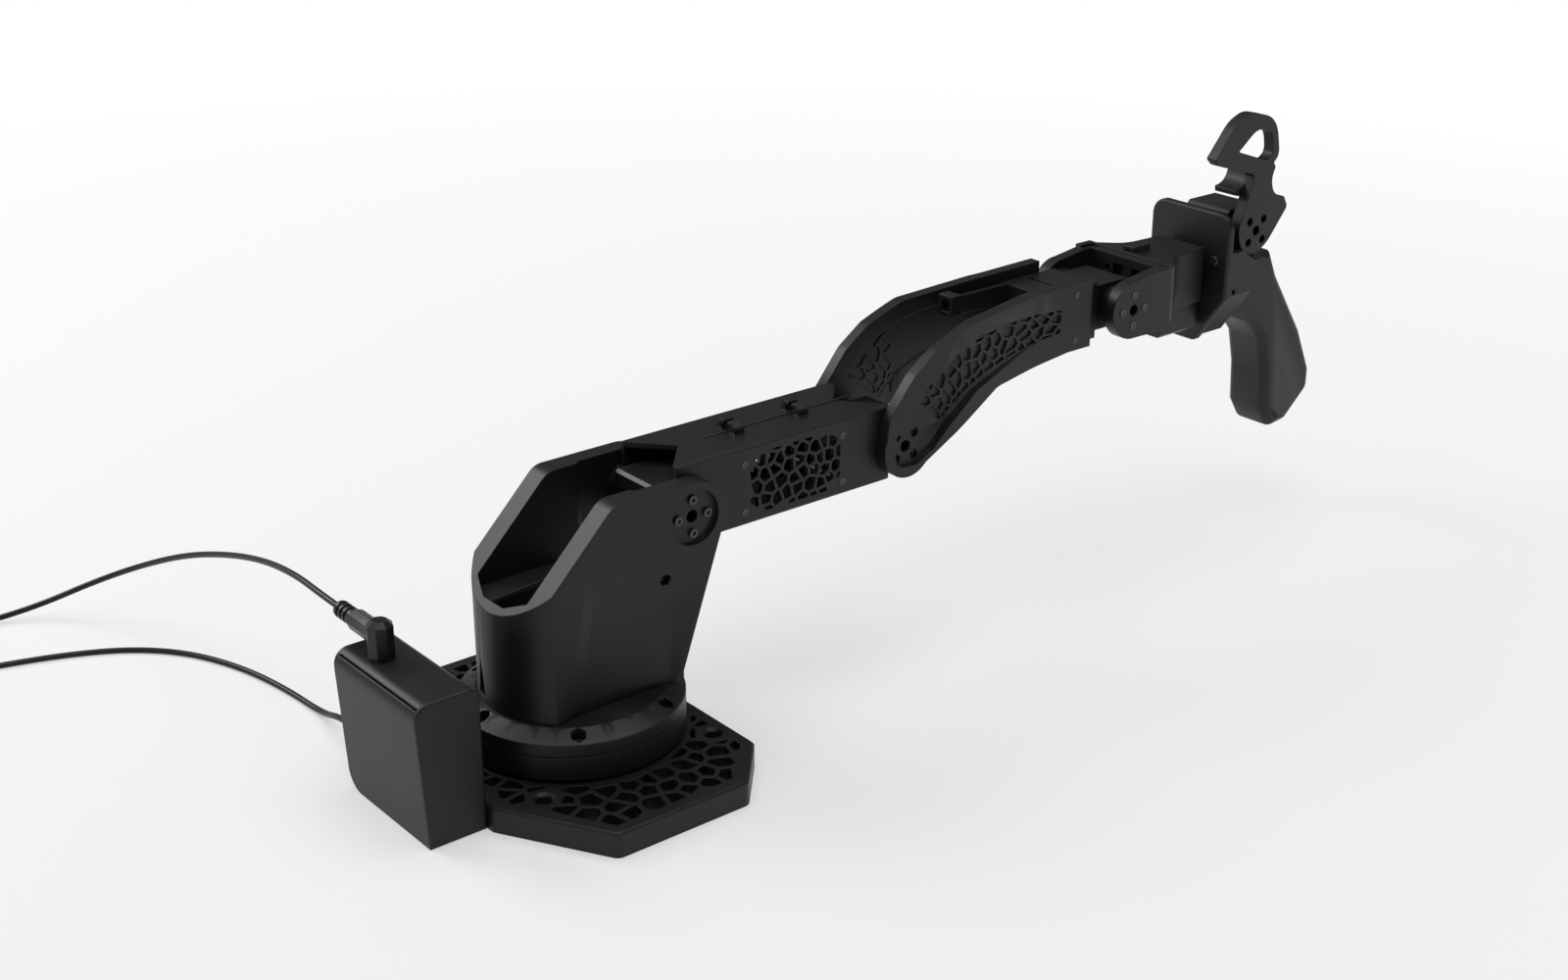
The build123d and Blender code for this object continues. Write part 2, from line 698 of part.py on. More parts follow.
for side in (-1, 1):
    with BuildPart() as sunk_field:
        with BuildSketch(xz_plane(side * (forearm_web_y - 4.0))) as field_view:
            Polygon(*sunk_edge, align=None)
            fillet(field_view.vertices(), 3.0)
        extrude(amount=-side * 20.0)
        with BuildSketch(Plane.XY.offset(elbow_z - 60.0)):
            Polygon(*flare_view(web_outer, (60.0, 60.0), side), align=None)
        extrude(amount=180.0, mode=Mode.INTERSECT)
    with BuildPart() as recess_field:
        with BuildSketch(xz_plane(0)):
            Polygon(*recess_edge, align=None)
        extrude(amount=-side * 45.0)
        with BuildSketch(Plane.XY.offset(elbow_z - 40.0)):
            Polygon(*flare_view((5.0, 5.0), web_inner, side), align=None)
        extrude(amount=140.0, mode=Mode.INTERSECT)
    with BuildPart() as cell_field:
        with BuildSketch(xz_plane(0)):
            add(band_openings)
        extrude(amount=-side * 45.0)
        with BuildSketch(Plane.XY.offset(elbow_z - 40.0)):
            Polygon(*flare_view(cell_floor, (60.0, 60.0), side), align=None)
        extrude(amount=140.0, mode=Mode.INTERSECT)
    with BuildPart() as forearm_side:
        with BuildSketch(xz_plane(0)) as side_view:
            with BuildLine():
                Polyline(
                    (elbow_x - 18.6, elbow_z),
                    (elbow_x - 15.5, elbow_z + 21.0),
                    (elbow_x + 3.5, elbow_z + 44.0),
                    (elbow_x + 21.5, elbow_z + 56.5),
                    (elbow_x + 49.0, elbow_z + 66.5),
                    (elbow_x + 105.0, elbow_z + 71.0),
                    (forearm_tip_x, end_top),
                    (forearm_tip_x, end_bottom),
                    (forearm_tip_x - 20.0, end_bottom),
                    (elbow_x + 76.0, elbow_z + 20.0),
                    (elbow_x + 12.0, elbow_z - 14.0),
                    close=True,
                )
            make_face()
            bends = side_view.vertices().filter_by(lambda v: elbow_x + 2 < v.X < forearm_tip_x - 30)
            fillet(bends.filter_by(lambda v: v.Y > elbow_z), 16.0)
            with Locations((elbow_x, elbow_z)):
                Circle(forearm_elbow_radius)
        extrude(amount=-side * 45.0)
        with BuildSketch(Plane.XY.offset(elbow_z - 40.0)) as top_view:
            Polygon(*flare_view((forearm_inner, forearm_end_inner), (forearm_outer, plate_end_outer), side),
                    align=None)
            fillet(top_view.vertices().filter_by(lambda v: elbow_x < v.X < forearm_tip_x), 150.0)
        extrude(amount=140.0, mode=Mode.INTERSECT)
        add(sunk_field.part, mode=Mode.SUBTRACT)
        add(recess_field.part, mode=Mode.SUBTRACT)
        add(cell_field.part, mode=Mode.SUBTRACT)
        axis_plane = side_plane(elbow_x, 0, elbow_z, side)
        with BuildSketch(axis_plane.offset(forearm_inner)):
            Circle(horn_radius - 0.1)
        extrude(amount=horn_face - forearm_inner)
        with BuildSketch(axis_plane.offset(forearm_outer)):
            Circle(3.7)
            with PolarLocations(horn_circle / 2, 4, start_angle=45):
                Circle(screw_radius)
        extrude(amount=horn_face - forearm_outer, mode=Mode.SUBTRACT)
        with BuildSketch(axis_plane.offset(forearm_outer)):
            with PolarLocations(horn_circle / 2, 4, start_angle=45):
                Circle(screw_head_radius + 0.2)
        extrude(amount=forearm_screw_seat - forearm_outer, mode=Mode.SUBTRACT)
        with BuildSketch(xz_plane(0)):
            with Locations(*plate_screw_spots):
                Circle(screw_radius)
        extrude(amount=-side * 45.0, mode=Mode.SUBTRACT)
    save(f"forearm_{side_names[side]}_plate", forearm_side)

elbow_planes = []
plate_screw_planes = []
for side in (-1, 1):
    axis_plane = side_plane(elbow_x, 0, elbow_z, side)
    elbow_planes += horn_screw_planes(axis_plane, forearm_screw_seat, 45)
    for x, z in plate_screw_spots:
        plate_screw_planes.append(side_plane(x, side * plate_end_outer, z, side))
save("elbow_screws", screws(elbow_planes, forearm_screw_seat - horn_face + 3.0))
save("forearm_plate_screws", screws(plate_screw_planes, 12.0, 2.3, 0.3))

# Cradle between the plates, and the wrist servo in it
cradle_rear = elbow_x + 127.0
cradle_front = wrist_x - 17.6
servo_room = servo_height / 2 + seat_gap
rail_start = elbow_x + 78.0
rail_y = 14.0
rail_width = 4.0
with BuildPart() as wrist_cradle:
    with BuildSketch(xz_plane(forearm_end_inner - seat_gap)) as side_view:
        with BuildLine():
            Polyline(
                (cradle_rear, wrist_z - 19.0),
                (cradle_front, wrist_z - 19.0),
                (cradle_front, wrist_z + 18.0),
                (cradle_rear, wrist_z + 18.0),
                close=True,
            )
        make_face()
    extrude(amount=2 * (forearm_end_inner - seat_gap))
    with BuildSketch(xz_plane(servo_width / 2 + 0.1)):
        with Locations((wrist_x, wrist_z)):
            Rectangle(2 * servo_front + 2 * seat_gap, 2 * servo_room)
    extrude(amount=servo_width + 0.2, mode=Mode.SUBTRACT)
    with BuildSketch(xz_plane(forearm_end_inner - 3.0)):
        with Locations(((cradle_rear + wrist_x - servo_front) / 2 - 1.5, wrist_z)):
            Rectangle(wrist_x - servo_front - cradle_rear - 6.0, 28.0)
    extrude(amount=2 * (forearm_end_inner - 3.0), mode=Mode.SUBTRACT)
    with BuildSketch(Plane.XY.offset(wrist_z + 6.0)):
        Polygon(
            (rail_start, rail_y), (cradle_rear + 2.0, rail_y), (cradle_rear + 2.0, rail_y + rail_width),
            (rail_start, rail_y + rail_width),
            align=None,
        )
    extrude(amount=12.0)
    with BuildSketch(Plane(origin=(rail_start, 0, 0), x_dir=(0, 1, 0), z_dir=(1, 0, 0))):
        with Locations((rail_y - 3.0, wrist_z + 16.0)):
            Rectangle(12.0, 13.0)
            Rectangle(6.5, 7.5, mode=Mode.SUBTRACT)
    extrude(amount=-8.0)
    with BuildSketch(xz_plane(50.0)):
        with Locations(*plate_screw_spots):
            Circle(screw_radius)
    extrude(amount=100.0, mode=Mode.SUBTRACT)
save("wrist_cradle", wrist_cradle)

wrist_axis = Plane(origin=(wrist_x, 0, wrist_z), x_dir=(-1, 0, 0), z_dir=(0, -1, 0))
save("wrist_servo", servo(wrist_axis))
save("wrist_horn", horn(wrist_axis.offset(servo_width / 2)))
save("wrist_idler", horn(side_plane(wrist_x, 0, wrist_z, 1).offset(servo_width / 2)))

# Wrist bracket: two cheeks, cross wall, deck and the neck that carries the roll servo
bracket_wall_x = wrist_x + 27.4
bracket_top = wrist_z + 21.7
bracket_bottom = wrist_z - 19.6
neck_bottom = wrist_z - 15.0
roll_plane = Plane(origin=(neck_front, 0, wrist_z), x_dir=(0, 0, -1), z_dir=(1, 0, 0))
with BuildPart() as wrist_bracket:
    with BuildSketch(xz_plane(cheek_outer)):
        with BuildLine():
            Polyline(
                (wrist_x, wrist_z - cheek_radius),
                (bracket_wall_x + 6.0, bracket_bottom),
                (bracket_wall_x + 6.0, bracket_top),
                (wrist_x + 20.0, bracket_top),
                (wrist_x, wrist_z + cheek_radius),
                close=True,
            )
        make_face()
        with Locations((wrist_x, wrist_z)):
            Circle(cheek_radius)
    extrude(amount=2 * cheek_outer)
    with BuildSketch(Plane.XY.offset(neck_bottom)):
        with BuildLine():
            Polyline(
                (bracket_wall_x + 6.0, -cheek_outer),
                (bracket_wall_x, -cheek_outer),
                (bracket_wall_x, cheek_outer),
                (bracket_wall_x + 6.0, cheek_outer),
            )
            for side in (-1, 1):
                Bezier(
                    (bracket_wall_x + 6.0, side * cheek_outer),
                    (bracket_wall_x + 17.0, side * cheek_outer),
                    (bracket_wall_x + 17.0, side * neck_half_width),
                    (bracket_wall_x + 36.0, side * neck_half_width),
                )
            Polyline(
                (bracket_wall_x + 36.0, -neck_half_width),
                (neck_front - 2.0, -neck_half_width + 1.5),
                (neck_front - 2.0, neck_half_width - 1.5),
                (bracket_wall_x + 36.0, neck_half_width),
            )
        make_face()
    extrude(amount=bracket_top - neck_bottom)
    with BuildSketch(xz_plane(cheek_inner)):
        with Locations((wrist_x, wrist_z)):
            Rectangle(2 * (bracket_wall_x - wrist_x), 100.0)
    extrude(amount=2 * cheek_inner, mode=Mode.SUBTRACT)
    for side in (-1, 1):
        axis_plane = side_plane(wrist_x, 0, wrist_z, side)
        with BuildSketch(axis_plane.offset(cheek_inner)):
            Circle(horn_radius - 0.1)
        extrude(amount=horn_face - cheek_inner)
        with BuildSketch(axis_plane.offset(cheek_outer)):
            Circle(3.7)
            with PolarLocations(horn_circle / 2, 4):
                Circle(screw_radius)
        extrude(amount=horn_face - cheek_outer, mode=Mode.SUBTRACT)
    with BuildSketch(Plane(origin=(neck_front, 0, 0), x_dir=(0, 1, 0), z_dir=(1, 0, 0))):
        with Locations((0, wrist_z - 20.0)):
            Rectangle(2 * servo_room, 2 * (servo_back + 20.0 + seat_gap))
    extrude(amount=-servo_width - seat_gap, mode=Mode.SUBTRACT)
    with BuildSketch(Plane.XY.offset(bracket_top)):
        with BuildLine():
            Polyline(
                (wrist_x + 20.0, cheek_outer - 5.0),
                (bracket_wall_x + 3.5, cheek_outer - 5.0),
                (bracket_wall_x + 3.5, -cheek_outer),
                (bracket_wall_x + 6.0, -cheek_outer),
                (bracket_wall_x + 6.0, cheek_outer),
                (wrist_x + 20.0, cheek_outer),
                close=True,
            )
        make_face()
    extrude(amount=2.2)
    with BuildSketch(Plane(origin=(0, 0, bracket_top), x_dir=(1, 0, 0), z_dir=(0, 0, 1))):
        with Locations((bracket_wall_x + 17.0, 4.0)):
            Rectangle(16.0, 9.0)
    extrude(amount=4.5)
    with BuildSketch(Plane(origin=(bracket_wall_x, 0, 0), x_dir=(0, 1, 0), z_dir=(1, 0, 0))):
        with Locations((-12, wrist_z + 12), (4, wrist_z + 12)):
            Rectangle(9, 8)
        with Locations((14, wrist_z + 12)):
            Circle(2.4)
    extrude(amount=4.0, mode=Mode.SUBTRACT)
save("wrist_bracket", wrist_bracket)

wrist_planes = []
for side in (-1, 1):
    axis_plane = side_plane(wrist_x, 0, wrist_z, side)
    wrist_planes += horn_screw_planes(axis_plane, cheek_outer)
save("wrist_screws", screws(wrist_planes, cheek_thickness + 6.0, 2.6, 0.4))

save("roll_servo", servo(roll_plane.offset(-servo_width / 2)))
save("roll_horn", horn(roll_plane))

# Handle frame: the upright plate, with the box behind it that holds the trigger servo
handle_outline = [
    (-handle_half_width, handle_knee),
    (-handle_half_width, handle_top),
    (handle_half_width, handle_top),
    (handle_half_width, handle_knee),
    (10.0, handle_bottom),
    (-10.0, handle_bottom),
]
frame_rear = 535.0
trigger_servo_y = 1.5
trigger_axis = Plane(origin=(trigger_x, trigger_servo_y, trigger_z), x_dir=(0, 0, -1), z_dir=(0, -1, 0))
servo_pocket_floor = trigger_z - servo_front - seat_gap
lever_face = trigger_servo_y - horn_face
lever_foot_radius = 16.5
with BuildPart() as handle_frame:
    with BuildSketch(Plane(origin=(handle_plate_x, 0, 0), x_dir=(0, 1, 0), z_dir=(1, 0, 0))) as outline:
        Polygon(*handle_outline, align=None)
        fillet(outline.vertices().group_by(Axis.Y)[-1], 11.0)
        fillet(outline.vertices().group_by(Axis.Y)[0], 6.0)
        fillet(outline.vertices().filter_by(lambda v: abs(v.Y - handle_knee) < 0.1), 8.0)
    extrude(amount=handle_plate_thickness)
    fillet(handle_frame.faces().sort_by(Axis.X)[0].edges(), 2.0)
    plate_back = (handle_plate_x + handle_plate_thickness, 0, 0)
    with BuildSketch(Plane(origin=plate_back, x_dir=(0, 1, 0), z_dir=(1, 0, 0))):
        Polygon(*handle_outline, align=None)
        offset(amount=-2.5)
        with Locations((0, handle_top)):
            Rectangle(100, 2 * (handle_top - 205.0), mode=Mode.SUBTRACT)
    extrude(amount=frame_rear - handle_plate_x - handle_plate_thickness)
    with BuildSketch(Plane(origin=(handle_plate_x + 8.0, 0, 0), x_dir=(0, 1, 0), z_dir=(1, 0, 0))):
        Polygon(*handle_outline, align=None)
        offset(amount=-6.0)
        with Locations((0, handle_top)):
            Rectangle(100, 2 * (handle_top - 202.0), mode=Mode.SUBTRACT)
    extrude(amount=100.0, mode=Mode.SUBTRACT)
    with BuildSketch(trigger_axis.offset(servo_width / 2)):
        Circle(lever_foot_radius + 1.0)
    extrude(amount=50.0, mode=Mode.SUBTRACT)
    with BuildSketch(Plane.XY.offset(servo_pocket_floor)):
        with Locations((trigger_x, trigger_servo_y)):
            Rectangle(2 * servo_room, servo_width + 2 * seat_gap)
    extrude(amount=100.0, mode=Mode.SUBTRACT)
    with BuildSketch(Plane(origin=(handle_plate_x, 0, wrist_z), x_dir=(0, 1, 0), z_dir=(1, 0, 0))):
        with PolarLocations(horn_circle / 2, 4):
            Circle(screw_radius)
        with Locations((-handle_screw_y, handle_screw_rise), (handle_screw_y, handle_screw_rise)):
            Circle(screw_radius)
    extrude(amount=20.0, mode=Mode.SUBTRACT)
    with BuildSketch(xz_plane(50.0)):
        with Locations((handle_plate_x + 12.0, wrist_z - 9.8)):
            Circle(1.8)
    extrude(amount=100.0, mode=Mode.SUBTRACT)
save("handle_frame", handle_frame)

handle_screw_planes = []
for side in (-1, 1):
    spot = (handle_plate_x, side * handle_screw_y, wrist_z + handle_screw_rise)
    handle_screw_planes.append(Plane(origin=spot, x_dir=(0, 1, 0), z_dir=(-1, 0, 0)))
save("handle_screws", screws(handle_screw_planes, 7.5))

roll_planes = []
for turn in range(4):
    angle = radians(90 * turn)
    spot = (handle_plate_x + 8.0, horn_circle / 2 * cos(angle), wrist_z + horn_circle / 2 * sin(angle))
    roll_planes.append(Plane(origin=spot, x_dir=(0, 1, 0), z_dir=(1, 0, 0)))
save("roll_horn_screws", screws(roll_planes, 8.0 + 3.0))

# Grip, hollow, behind the frame
grip_outline = [
    (frame_rear + seat_gap, 192.0),
    (574.0, 192.0),
    (583.0, 173.0),
    (614.0, 127.0),
    (629.0, 95.0),
    (629.0, 80.0),
    (606.0, 60.0),
    (589.0, 58.0),
    (579.0, 74.0),
    (577.0, 103.0),
    (571.0, 128.0),
    (557.0, 144.0),
    (frame_rear + seat_gap, 152.0),
]
with BuildPart() as grip:
    with BuildSketch(xz_plane(grip_half_width)) as side_view:
        Polygon(*grip_outline, align=None)
        fillet(side_view.vertices().sort_by(Axis.Y)[0:2], 6.0)
        fillet(side_view.vertices().filter_by(lambda v: 575 < v.X and 78 < v.Y < 174), 9.0)
    extrude(amount=2 * grip_half_width)
    sides = grip.faces().filter_by(Axis.Y)
    fillet(sides.edges().filter_by(lambda e: e.center().X > 545), grip_edge)
    with BuildSketch(Plane.XY.offset(166.0)):
        with Locations(((frame_rear + seat_gap + 560.0) / 2, trigger_servo_y / 2)):
            Rectangle(560.0 - frame_rear - seat_gap, servo_width + 8.0)
    extrude(amount=26.0)
    with BuildSketch(xz_plane(grip_half_width - grip_wall)):
        Polygon(*grip_outline, align=None)
        offset(amount=-grip_wall)
    extrude(amount=2 * (grip_half_width - grip_wall), mode=Mode.SUBTRACT)
    with BuildSketch(Plane.XY.offset(servo_pocket_floor)):
        with Locations((trigger_x, trigger_servo_y)):
            Rectangle(2 * servo_room, servo_width + 2 * seat_gap)
    extrude(amount=100.0, mode=Mode.SUBTRACT)
save("grip", grip)

# Trigger servo, its horn, and the trigger with its finger loop
save("trigger_servo", servo(trigger_axis))
save("trigger_horn", horn(trigger_axis.offset(servo_width / 2), 45))
lever_outline = [
    (-46.2, 55.4),
    (-27.6, 75.5),
    (-15.9, 80.8),
    (3.9, 76.1),
    (12.8, 69.5),
    (18.1, 61.2),
    (18.3, 51.3),
    (12.7, 44.6),
    (15.0, 41.2),
    (12.2, 34.7),
    (13.1, 27.7),
    (16.9, 22.1),
    (26.7, 19.2),
    (30.8, 11.5),
    (12.0, -10.9),
    (4.2, -13.9),
    (-4.0, -13.0),
    (-12.7, -7.9),
    (-18.5, 2.4),
    (-13.4, 16.1),
    (-5.9, 37.7),
    (-7.3, 39.5),
    (-42.3, 50.4),
]
loop_outline = [
    (0.4, 68.4), (6.5, 65.2), (10.4, 58.6), (10.7, 51.0), (5.5, 46.9), (-24.2, 57.2), (-8.6, 67.5),
]
with BuildPart() as trigger_lever:
    with BuildSketch(Plane(origin=(trigger_x, lever_face, trigger_z), x_dir=(1, 0, 0), z_dir=(0, -1, 0))):
        Polygon(*lever_outline, align=None)
        Polygon(*loop_outline, align=None, mode=Mode.SUBTRACT)
        Circle(3.4, mode=Mode.SUBTRACT)
        with PolarLocations(horn_circle / 2, 4, start_angle=45):
            Circle(screw_radius, mode=Mode.SUBTRACT)
    extrude(amount=trigger_thickness)
    lever_back = (trigger_x, lever_face - trigger_thickness, trigger_z)
    with BuildSketch(Plane(origin=lever_back, x_dir=(1, 0, 0), z_dir=(0, -1, 0))):
        with PolarLocations(horn_circle / 2, 4, start_angle=45):
            Circle(screw_head_radius + 0.2)
    extrude(amount=-5.0, mode=Mode.SUBTRACT)
    with BuildSketch(Plane(origin=(trigger_x, lever_face, trigger_z), x_dir=(1, 0, 0), z_dir=(0, 1, 0))):
        Polygon((-16, -24), (-13, -30), (-4, -40), (8, -36), (10, -28), (-12, -24), align=None)
    extrude(amount=16.0)
save("trigger_lever", trigger_lever)

trigger_planes = []
for turn in range(4):
    angle = radians(45 + 90 * turn)
    spot = (
        trigger_x + horn_circle / 2 * cos(angle),
        lever_face - trigger_thickness + 5.0,
        trigger_z + horn_circle / 2 * sin(angle),
    )
    trigger_planes.append(Plane(origin=spot, x_dir=(1, 0, 0), z_dir=(0, -1, 0)))
save("trigger_screws", screws(trigger_planes, trigger_thickness - 5.0 + 3.0))

# Controller box behind the plate: shell, end cover, board and sockets
box_front = plate_rear - seat_gap
box_rear = box_front - box_depth
box_outline = [
    (box_front, 0.0),
    (box_front, box_top),
    (box_rear - 4.0, box_top),
    (box_rear - 4.0, box_top - 12.0),
    (box_rear, 0.0),
]
with BuildPart() as controller_shell:
    with BuildSketch(xz_plane(box_half_length)) as side_view:
        Polygon(*box_outline, align=None)
        fillet(side_view.vertices().filter_by(lambda v: v.Y > 1 and v.X > box_rear + 10), box_front_edge)
        fillet(side_view.vertices().filter_by(lambda v: v.Y > 1 and v.X < box_rear + 10), box_rear_edge)
    extrude(amount=2 * box_half_length - box_cover)
    with BuildSketch(Plane(origin=(-200, 0, 0), x_dir=(0, 1, 0), z_dir=(1, 0, 0))) as end_view:
        with Locations((0, box_top / 2)):
            Rectangle(2 * box_half_length, box_top)
        fillet(end_view.vertices().filter_by(lambda v: v.X > 0 and v.Y < 1), 12.0)
    extrude(amount=200.0, mode=Mode.INTERSECT)
    with BuildSketch(xz_plane(box_half_length - box_wall)):
        Polygon(*box_outline, align=None)
        offset(amount=-box_wall)
        with Locations((box_rear + box_depth / 2, 0)):
            Rectangle(100, 24, mode=Mode.SUBTRACT)
    extrude(amount=100.0, mode=Mode.SUBTRACT)
save("controller_shell", controller_shell)

with BuildPart() as controller_cover:
    with BuildSketch(xz_plane(-box_half_length + box_cover)) as side_view:
        Polygon(*box_outline, align=None)
        fillet(side_view.vertices().filter_by(lambda v: v.Y > 1 and v.X > box_rear + 10), box_front_edge)
        fillet(side_view.vertices().filter_by(lambda v: v.Y > 1 and v.X < box_rear + 10), box_rear_edge)
    extrude(amount=box_cover)
    fillet(controller_cover.faces().sort_by(Axis.Y)[0].edges(), 1.2)
save("controller_cover", controller_cover)

board_x = box_rear + 12.0
board_length = 2 * box_half_length - box_cover - box_wall - 2 * running_gap
with BuildPart() as controller_board:
    with Locations((board_x, (box_cover - box_wall) / 2, 44.0)):
        Box(1.6, board_length, 60.0)
save("controller_board", controller_board)

plug_x = box_rear + 12.5
plug_y = 19.0
plug_base = box_top
arm_z = plug_base + 12.5
plug_radius = 7.7
plug_arm = 44.0
with BuildPart() as dc_plug:
    with BuildSketch(Plane.XY.offset(plug_base + 0.1)):
        with Locations((plug_x, plug_y)):
            RegularPolygon(plug_radius, 8)
    extrude(amount=22.0)
    chamfer(dc_plug.faces().sort_by(Axis.Z)[-1].edges(), 3.0)
    arm_plane = Plane(origin=(plug_x, plug_y, arm_z), x_dir=(1, 0, 0), z_dir=(0, 1, 0))
    with BuildSketch(arm_plane):
        RegularPolygon(6.3, 8)
    extrude(amount=26.0)
    with BuildSketch(arm_plane.offset(26.0)):
        Circle(5.0)
    extrude(amount=plug_arm - 26.0)
    fillet(dc_plug.faces().sort_by(Axis.Y)[-1].edges(), 1.8)
    for groove in range(3):
        with BuildSketch(arm_plane.offset(30.0 + 4.2 * groove)):
            Circle(5.2)
            Circle(3.9, mode=Mode.SUBTRACT)
        extrude(amount=1.8, mode=Mode.SUBTRACT)
save("dc_plug", dc_plug)

socket_y = box_half_length
socket_x = box_rear + 22.0
socket_z = 15.0
with BuildPart() as data_socket:
    with Locations((socket_x, socket_y - 4.0, socket_z + 3.0)):
        Box(12.0, 3.0, 6.0)
save("data_socket", data_socket)
with BuildPart() as data_plug:
    with BuildSketch(Plane(origin=(socket_x, socket_y + 0.2, socket_z), x_dir=(1, 0, 0), z_dir=(0, 1, 0))):
        RectangleRounded(13.0, 8.0, 2.0)
    extrude(amount=24.0)
save("data_plug", data_plug)


def radii_of(route):
    """Radius at each inner point: 0.45 of the shorter run over the tangent of half the turn."""
    radii = []
    for before, point, after in zip(route, route[1:], route[2:]):
        into = Vector(*point) - Vector(*before)
        out = Vector(*after) - Vector(*point)
        turn = radians(into.get_angle(out))
        radii.append(0.45 * min(into.length, out.length) / tan(turn / 2))
    return radii


def tube(route, diameter):
    """Plain tube along a route of straight runs joined by tangent arcs."""
    radii = radii_of(route)
    print("least radius", round(min(radii), 1), "of", [round(r, 1) for r in radii])
    with BuildPart() as lead:
        with BuildLine() as path:
            FilletPolyline(*route, radius=radii)
        course = path.wires()[0]
        start = Plane(origin=course @ 0, z_dir=course % 0)
        with BuildSketch(start):
            Circle(diameter / 2)
        sweep()
    filled = pi * diameter ** 2 / 4 * course.length
    print("length", round(course.length, 1), "volume ratio", round(lead.part.volume / filled, 4))
    return lead


# Leads, with the unseen rest of each in a coil beside it
floor_lift = cord_diameter / 2 + 0.1
power_route = [
    (plug_x, plug_y + plug_arm + 0.1, arm_z),
    (plug_x - 0.3, 84.0, 99.0),
    (-105.0, 118.0, 98.0),
    (-103.5, 160.0, 91.5),
    (-105.0, 205.0, 80.0),
    (-111.0, 252.0, 65.0),
    (-122.0, 296.0, 46.0),
    (-141.0, 334.0, 26.0),
    (-170.0, 358.0, 9.0),
    (-202.0, 369.5, floor_lift),
    (-229.5, 373.2, floor_lift),
]
data_route = [
    (socket_x, socket_y + 24.5, socket_z),
    (-96.4, 94.0, 14.0),
    (-93.0, 124.0, floor_lift),
    (-95.5, 166.0, floor_lift),
    (-104.0, 210.0, floor_lift),
    (-121.0, 249.0, floor_lift),
    (-147.0, 276.0, floor_lift),
    (-180.0, 293.0, floor_lift),
    (-214.0, 304.0, floor_lift),
    (-245.5, 311.6, floor_lift),
]
save("power_cord", tube(power_route, cord_diameter))
save("data_cord", tube(data_route, cord_diameter))


def coil(centre, half_width):
    """Closed ring with the outer shape of a coil wound in two layers."""
    with BuildPart() as ring:
        with BuildSketch(Plane.XY.offset(0.1)):
            with Locations(centre):
                Circle(coil_turn_radius + half_width)
                Circle(coil_turn_radius - half_width, mode=Mode.SUBTRACT)
        extrude(amount=coil_height)
    return ring


power_coil_centre = (-248.0, 347.4)
data_coil_centre = (-262.8, 287.2)
save("power_coil", coil(power_coil_centre, 4 * coil_spacing / 2))
save("data_coil", coil(data_coil_centre, 3 * coil_spacing / 2))

power_plug_end = (power_coil_centre[0] - 24.1, power_coil_centre[1] + coil_turn_radius, 5.6)
with BuildPart() as power_end_plug:
    with BuildSketch(Plane(origin=power_plug_end, x_dir=(0, 1, 0), z_dir=(-1, 0, 0))):
        Circle(5.5)
    extrude(amount=24.0)
    with BuildSketch(Plane(origin=power_plug_end, x_dir=(0, 1, 0), z_dir=(-1, 0, 0)).offset(24.0)):
        Circle(2.75)
        Circle(1.1, mode=Mode.SUBTRACT)
    extrude(amount=9.5)
    fillet(power_end_plug.faces().sort_by(Axis.X)[-1].edges(), 2.0)
save("power_end_plug", power_end_plug)

data_plug_end = (data_coil_centre[0] - 24.0, data_coil_centre[1] + coil_turn_radius, 4.1)
with BuildPart() as data_end_plug:
    with BuildSketch(Plane(origin=data_plug_end, x_dir=(0, 1, 0), z_dir=(-1, 0, 0))):
        RectangleRounded(14.0, 8.0, 2.0)
    extrude(amount=20.0)
    with BuildSketch(Plane(origin=data_plug_end, x_dir=(0, 1, 0), z_dir=(-1, 0, 0)).offset(20.0)):
        Rectangle(12.0, 4.5)
    extrude(amount=11.0)
save("data_end_plug", data_end_plug)
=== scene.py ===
"""Looks of a hand-guided robot arm round its CAD frame: finishes, leads, floor, light, camera."""

import json
import logging
from dataclasses import dataclass, field
from enum import Enum
from math import cos, pi, radians, sin
from typing import Iterable, Optional, Union

import bmesh
import bpy
import numpy as np
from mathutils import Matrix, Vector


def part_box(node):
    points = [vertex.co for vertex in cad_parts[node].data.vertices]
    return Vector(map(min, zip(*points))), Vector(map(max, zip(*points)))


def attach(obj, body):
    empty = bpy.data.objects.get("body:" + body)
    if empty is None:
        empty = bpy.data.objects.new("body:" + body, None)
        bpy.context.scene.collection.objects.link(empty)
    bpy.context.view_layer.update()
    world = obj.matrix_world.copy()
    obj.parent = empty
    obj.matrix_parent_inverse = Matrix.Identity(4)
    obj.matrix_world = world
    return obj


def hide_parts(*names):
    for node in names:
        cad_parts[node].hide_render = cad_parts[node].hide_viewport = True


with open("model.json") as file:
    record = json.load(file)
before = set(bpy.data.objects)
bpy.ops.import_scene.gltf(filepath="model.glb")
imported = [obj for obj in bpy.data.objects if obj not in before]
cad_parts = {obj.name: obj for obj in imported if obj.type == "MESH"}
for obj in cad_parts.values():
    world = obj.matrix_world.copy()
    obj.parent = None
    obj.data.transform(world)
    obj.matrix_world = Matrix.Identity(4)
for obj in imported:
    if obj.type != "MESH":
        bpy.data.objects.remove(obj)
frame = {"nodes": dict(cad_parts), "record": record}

log = logging.getLogger("robot_arm")
MM = 0.001
MERGE_DISTANCE = 0.002 * MM
FLAT_ANGLE = radians(0.6)
SMOOTH_ANGLE = radians(30.0)
TURNED_SMOOTH_ANGLE = radians(40.0)
CORNER_ANGLE = radians(38.0)
CORNER_SEGMENTS = 3
